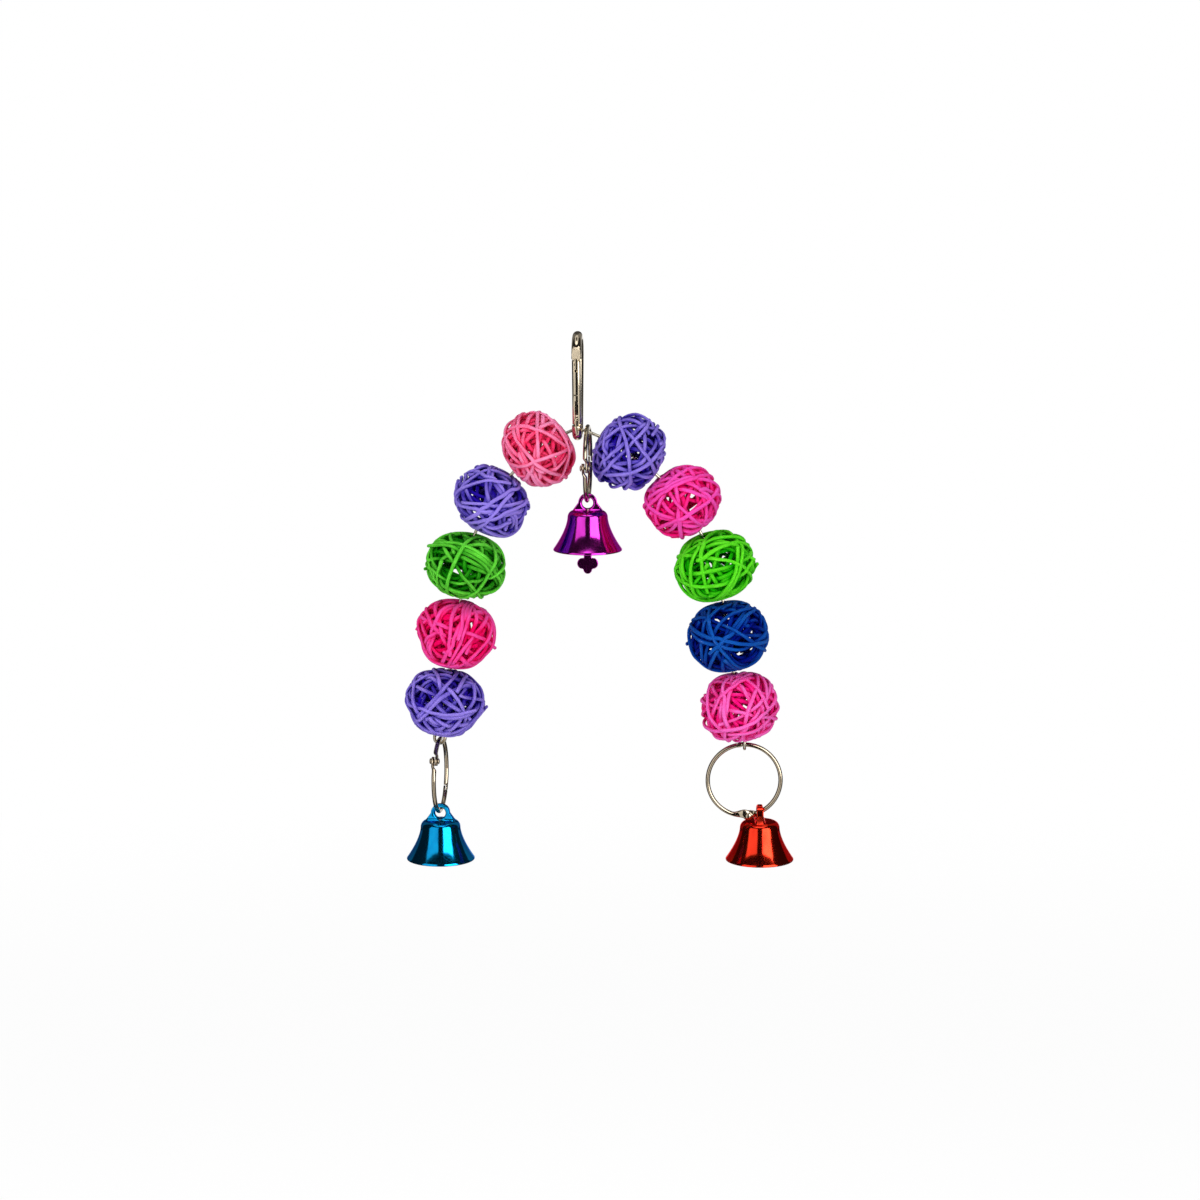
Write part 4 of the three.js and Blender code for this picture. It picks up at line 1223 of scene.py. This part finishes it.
def rounded_bar(path, radius, rounding):
    """A bar with its two end edges rounded."""
    turn = np.linspace(0, np.pi / 2, 5)[:-1]
    first, last = unit(path[1] - path[0]), unit(path[-1] - path[-2])
    start = [path[0] + first * rounding * (1 - math.sin(t)) for t in turn[::-1]]
    end = [path[-1] - last * rounding * (1 - math.sin(t)) for t in turn]
    edge = radius - rounding * (1 - np.cos(turn))
    whole = np.vstack([[path[0]], start, path[1:-1], end, [path[-1]]])
    plain, tip = np.full(len(path) - 2, radius), [radius - rounding]
    sizes = np.concatenate([tip, edge[::-1], plain, edge, tip])
    return sweep(whole, sizes, sizes, start=(1, 0, 0), sides=36)


def upright_plate(outline, thick, rounding):
    """A plate that lies across X, from an outline in Y and Z."""
    points, faces = plate(outline, thick, rounding)
    return points @ np.array([[0, 1, 0], [-1, 0, 0], [0, 0, 1]]), faces


def cross_rod(radius, half, y, z, rounding=0.0):
    """A rod along X."""
    points, faces = rod(radius, -half, half, 28, rounding)
    return points @ np.array([[0, 1, 0], [0, 0, 1], [1, 0, 0]]) + [0, y, z], faces


def block(low, high):
    x, y, z = zip(low, high)
    points = np.array([(i, j, k) for k in z for j in y for i in x], float)
    faces = [(0, 2, 3, 1), (4, 5, 7, 6), (0, 1, 5, 4), (2, 6, 7, 3), (0, 4, 6, 2), (1, 3, 7, 5)]
    return points, faces


tongue_low = fork_shoulder - 0.6
tongue_outline = [(-TONGUE_HALF, tongue_low), (TONGUE_HALF, tongue_low)]
tongue_outline += arc(TONGUE_HALF, (0, GATE_PIN_Z), 0, math.pi, 24)
tongue = upright_plate(tongue_outline, FORK_TONGUE, TONGUE_EDGE)
nose_flat = Matrix.Translation((0, NOSE_FLAT_Y, 0)) @ Matrix.Rotation(-NOSE_FLAT_TILT, 4, "X")
nose_low = -GATE_TOP - NOSE_TONGUE_LENGTH
nose = upright_plate([(-GATE_R + 0.5, nose_low), (-0.3, nose_low), (0.2, nose_low + 0.5), (0.2, 0.6),
                      (-GATE_R, 0.6), (-GATE_R, nose_low + 0.5)], NOSE_TONGUE, NOSE_EDGE)
body = carved("snap_hook_body", rounded_bar(hook_path(), HOOK_BAR_R, BAR_EDGE), [
    ("UNION", in_frame(tongue, gate_frame)),
    ("DIFFERENCE", in_frame(in_frame(block((-4, -6, -2), (4, 0, 6.2)), nose_flat), gate_frame)),
    ("UNION", in_frame(nose, gate_frame)),
    ("DIFFERENCE", in_frame(cross_rod(PIN_R + LOOSE, 3, 0, GATE_PIN_Z), gate_frame)),
])
body.transform(hook_turn)
flat_way = (hook_gate @ nose_flat).to_3x3() @ Vector((0, -1, 0))
ground = [float(face.normal.dot(flat_way) > SAME_WAY) for face in body.polygons]
body.attributes.new("ground", "FLOAT", "FACE").data.foreach_set("value", ground)
piece("snap_hook_body_bar", body, NICKEL, "hook", "snap_hook_body", crease=40)
print("hook: legs lean", round(math.degrees(lean), 2), "degrees")

# %% [markdown]
# The gate is a rod pressed a little square, so that its front mirrors a broad dark stripe. Its small
# pieces are turned or wound: pins with domed ends, a plunger with a collar, and a spring that is a wire
# swept along a helix.

# %% Gate
SPRING_TURNS = 5
SPRING_PITCH = 1.2
SPRING_R = 0.8
SPRING_WIRE = 0.5
PLUNGER_R = 0.75
CRIMP_Z = -17.2
GATE_SQUARE = 2.7
GATE_EDGE = 0.28
CRIMP_R = 0.4
catch_z = -GATE_TOP - NOSE_TONGUE_LENGTH / 2
fork_half = FORK_TONGUE / 2 + LOOSE
nose_half = NOSE_TONGUE / 2 + LOOSE
spring_top = GATE_FORK_TOP + SPRING_TURNS * SPRING_PITCH + SPRING_WIRE
bore_r = SPRING_R + SPRING_WIRE / 2 + LOOSE
foot_outline = arc(GATE_R, (0, GATE_PIN_Z), -math.pi, 0, 24)
foot_shape = upright_plate(foot_outline + [(GATE_R + 0.05, 1), (-GATE_R - 0.05, 1)], 8, 0.02)
gate_bar = rod(GATE_R, GATE_PIN_Z - GATE_R, -GATE_TOP, 56, GATE_EDGE)
around = unit(gate_bar[0][:, :2] + 1e-9)
gate_bar[0][:, :2] /= (np.abs(around) ** GATE_SQUARE).sum(1, keepdims=True) ** (1 / GATE_SQUARE)
gate = carved("snap_hook_gate", gate_bar, [
    ("INTERSECT", foot_shape),
    ("DIFFERENCE", block((-fork_half, -3, GATE_PIN_Z - 3), (fork_half, 3, GATE_FORK_TOP))),
    ("DIFFERENCE", block((-nose_half, -3, nose_low - LOOSE - 0.4), (nose_half, 3, 1))),
    ("DIFFERENCE", cross_rod(PIN_R + LOOSE, 3, 0, GATE_PIN_Z)),
    ("DIFFERENCE", cross_rod(CATCH_PIN_R + LOOSE, 3, CATCH_PIN_Y, catch_z)),
    ("DIFFERENCE", rod(bore_r, GATE_FORK_TOP - 0.2, spring_top + LOOSE)),
    ("DIFFERENCE", cross_rod(CRIMP_R, 1.5, -GATE_R - 0.1, CRIMP_Z, CRIMP_R / 2)),
])
gate.transform(hook_gate)
piece("snap_hook_gate_forked", gate, NICKEL, "gate", "snap_hook_gate", crease=40)

turns = np.linspace(0, 2 * np.pi * SPRING_TURNS, 24 * SPRING_TURNS + 1)
coil_z = GATE_FORK_TOP + SPRING_WIRE / 2 + SPRING_PITCH * turns / (2 * np.pi)
coil = np.column_stack([SPRING_R * np.cos(turns), SPRING_R * np.sin(turns), coil_z])
collar = GATE_PIN_Z + GATE_R + LOOSE
plunger = turned([(0, collar), (0.45, collar + 0.04), (0.66, collar + 0.2), (PLUNGER_R, collar + 0.45),
                  (PLUNGER_R, collar + 5.2), (0.62, collar + 5.35), (0.62, GATE_FORK_TOP - LOOSE - 0.12),
                  (0.5, GATE_FORK_TOP - LOOSE), (0, GATE_FORK_TOP - LOOSE)], 28)
small_pieces = {
    "gate_pivot_pin": ("domed", cross_rod(PIN_R, GATE_R, 0, GATE_PIN_Z, 0.25)),
    "gate_catch_pin": ("domed", cross_rod(CATCH_PIN_R, GATE_R * 0.8, CATCH_PIN_Y, catch_z, 0.2)),
    "gate_spring": ("coil", sweep(coil, SPRING_WIRE / 2, SPRING_WIRE / 2, start=(1, 0, 0), sides=10)),
    "gate_plunger": ("turned", plunger),
}
for node, (word, part) in small_pieces.items():
    # The spring and plunger in the gate's slot take the dark steel, which is partly painted shade.
    steel = NICKEL if "pin" in node else OILED_STEEL_AND_SLOT_SHADE
    piece(f"{node}_{word}", in_frame(part, hook_gate), steel, "gate", node, crease=40)
print("gate:", len(small_pieces), "small pieces")
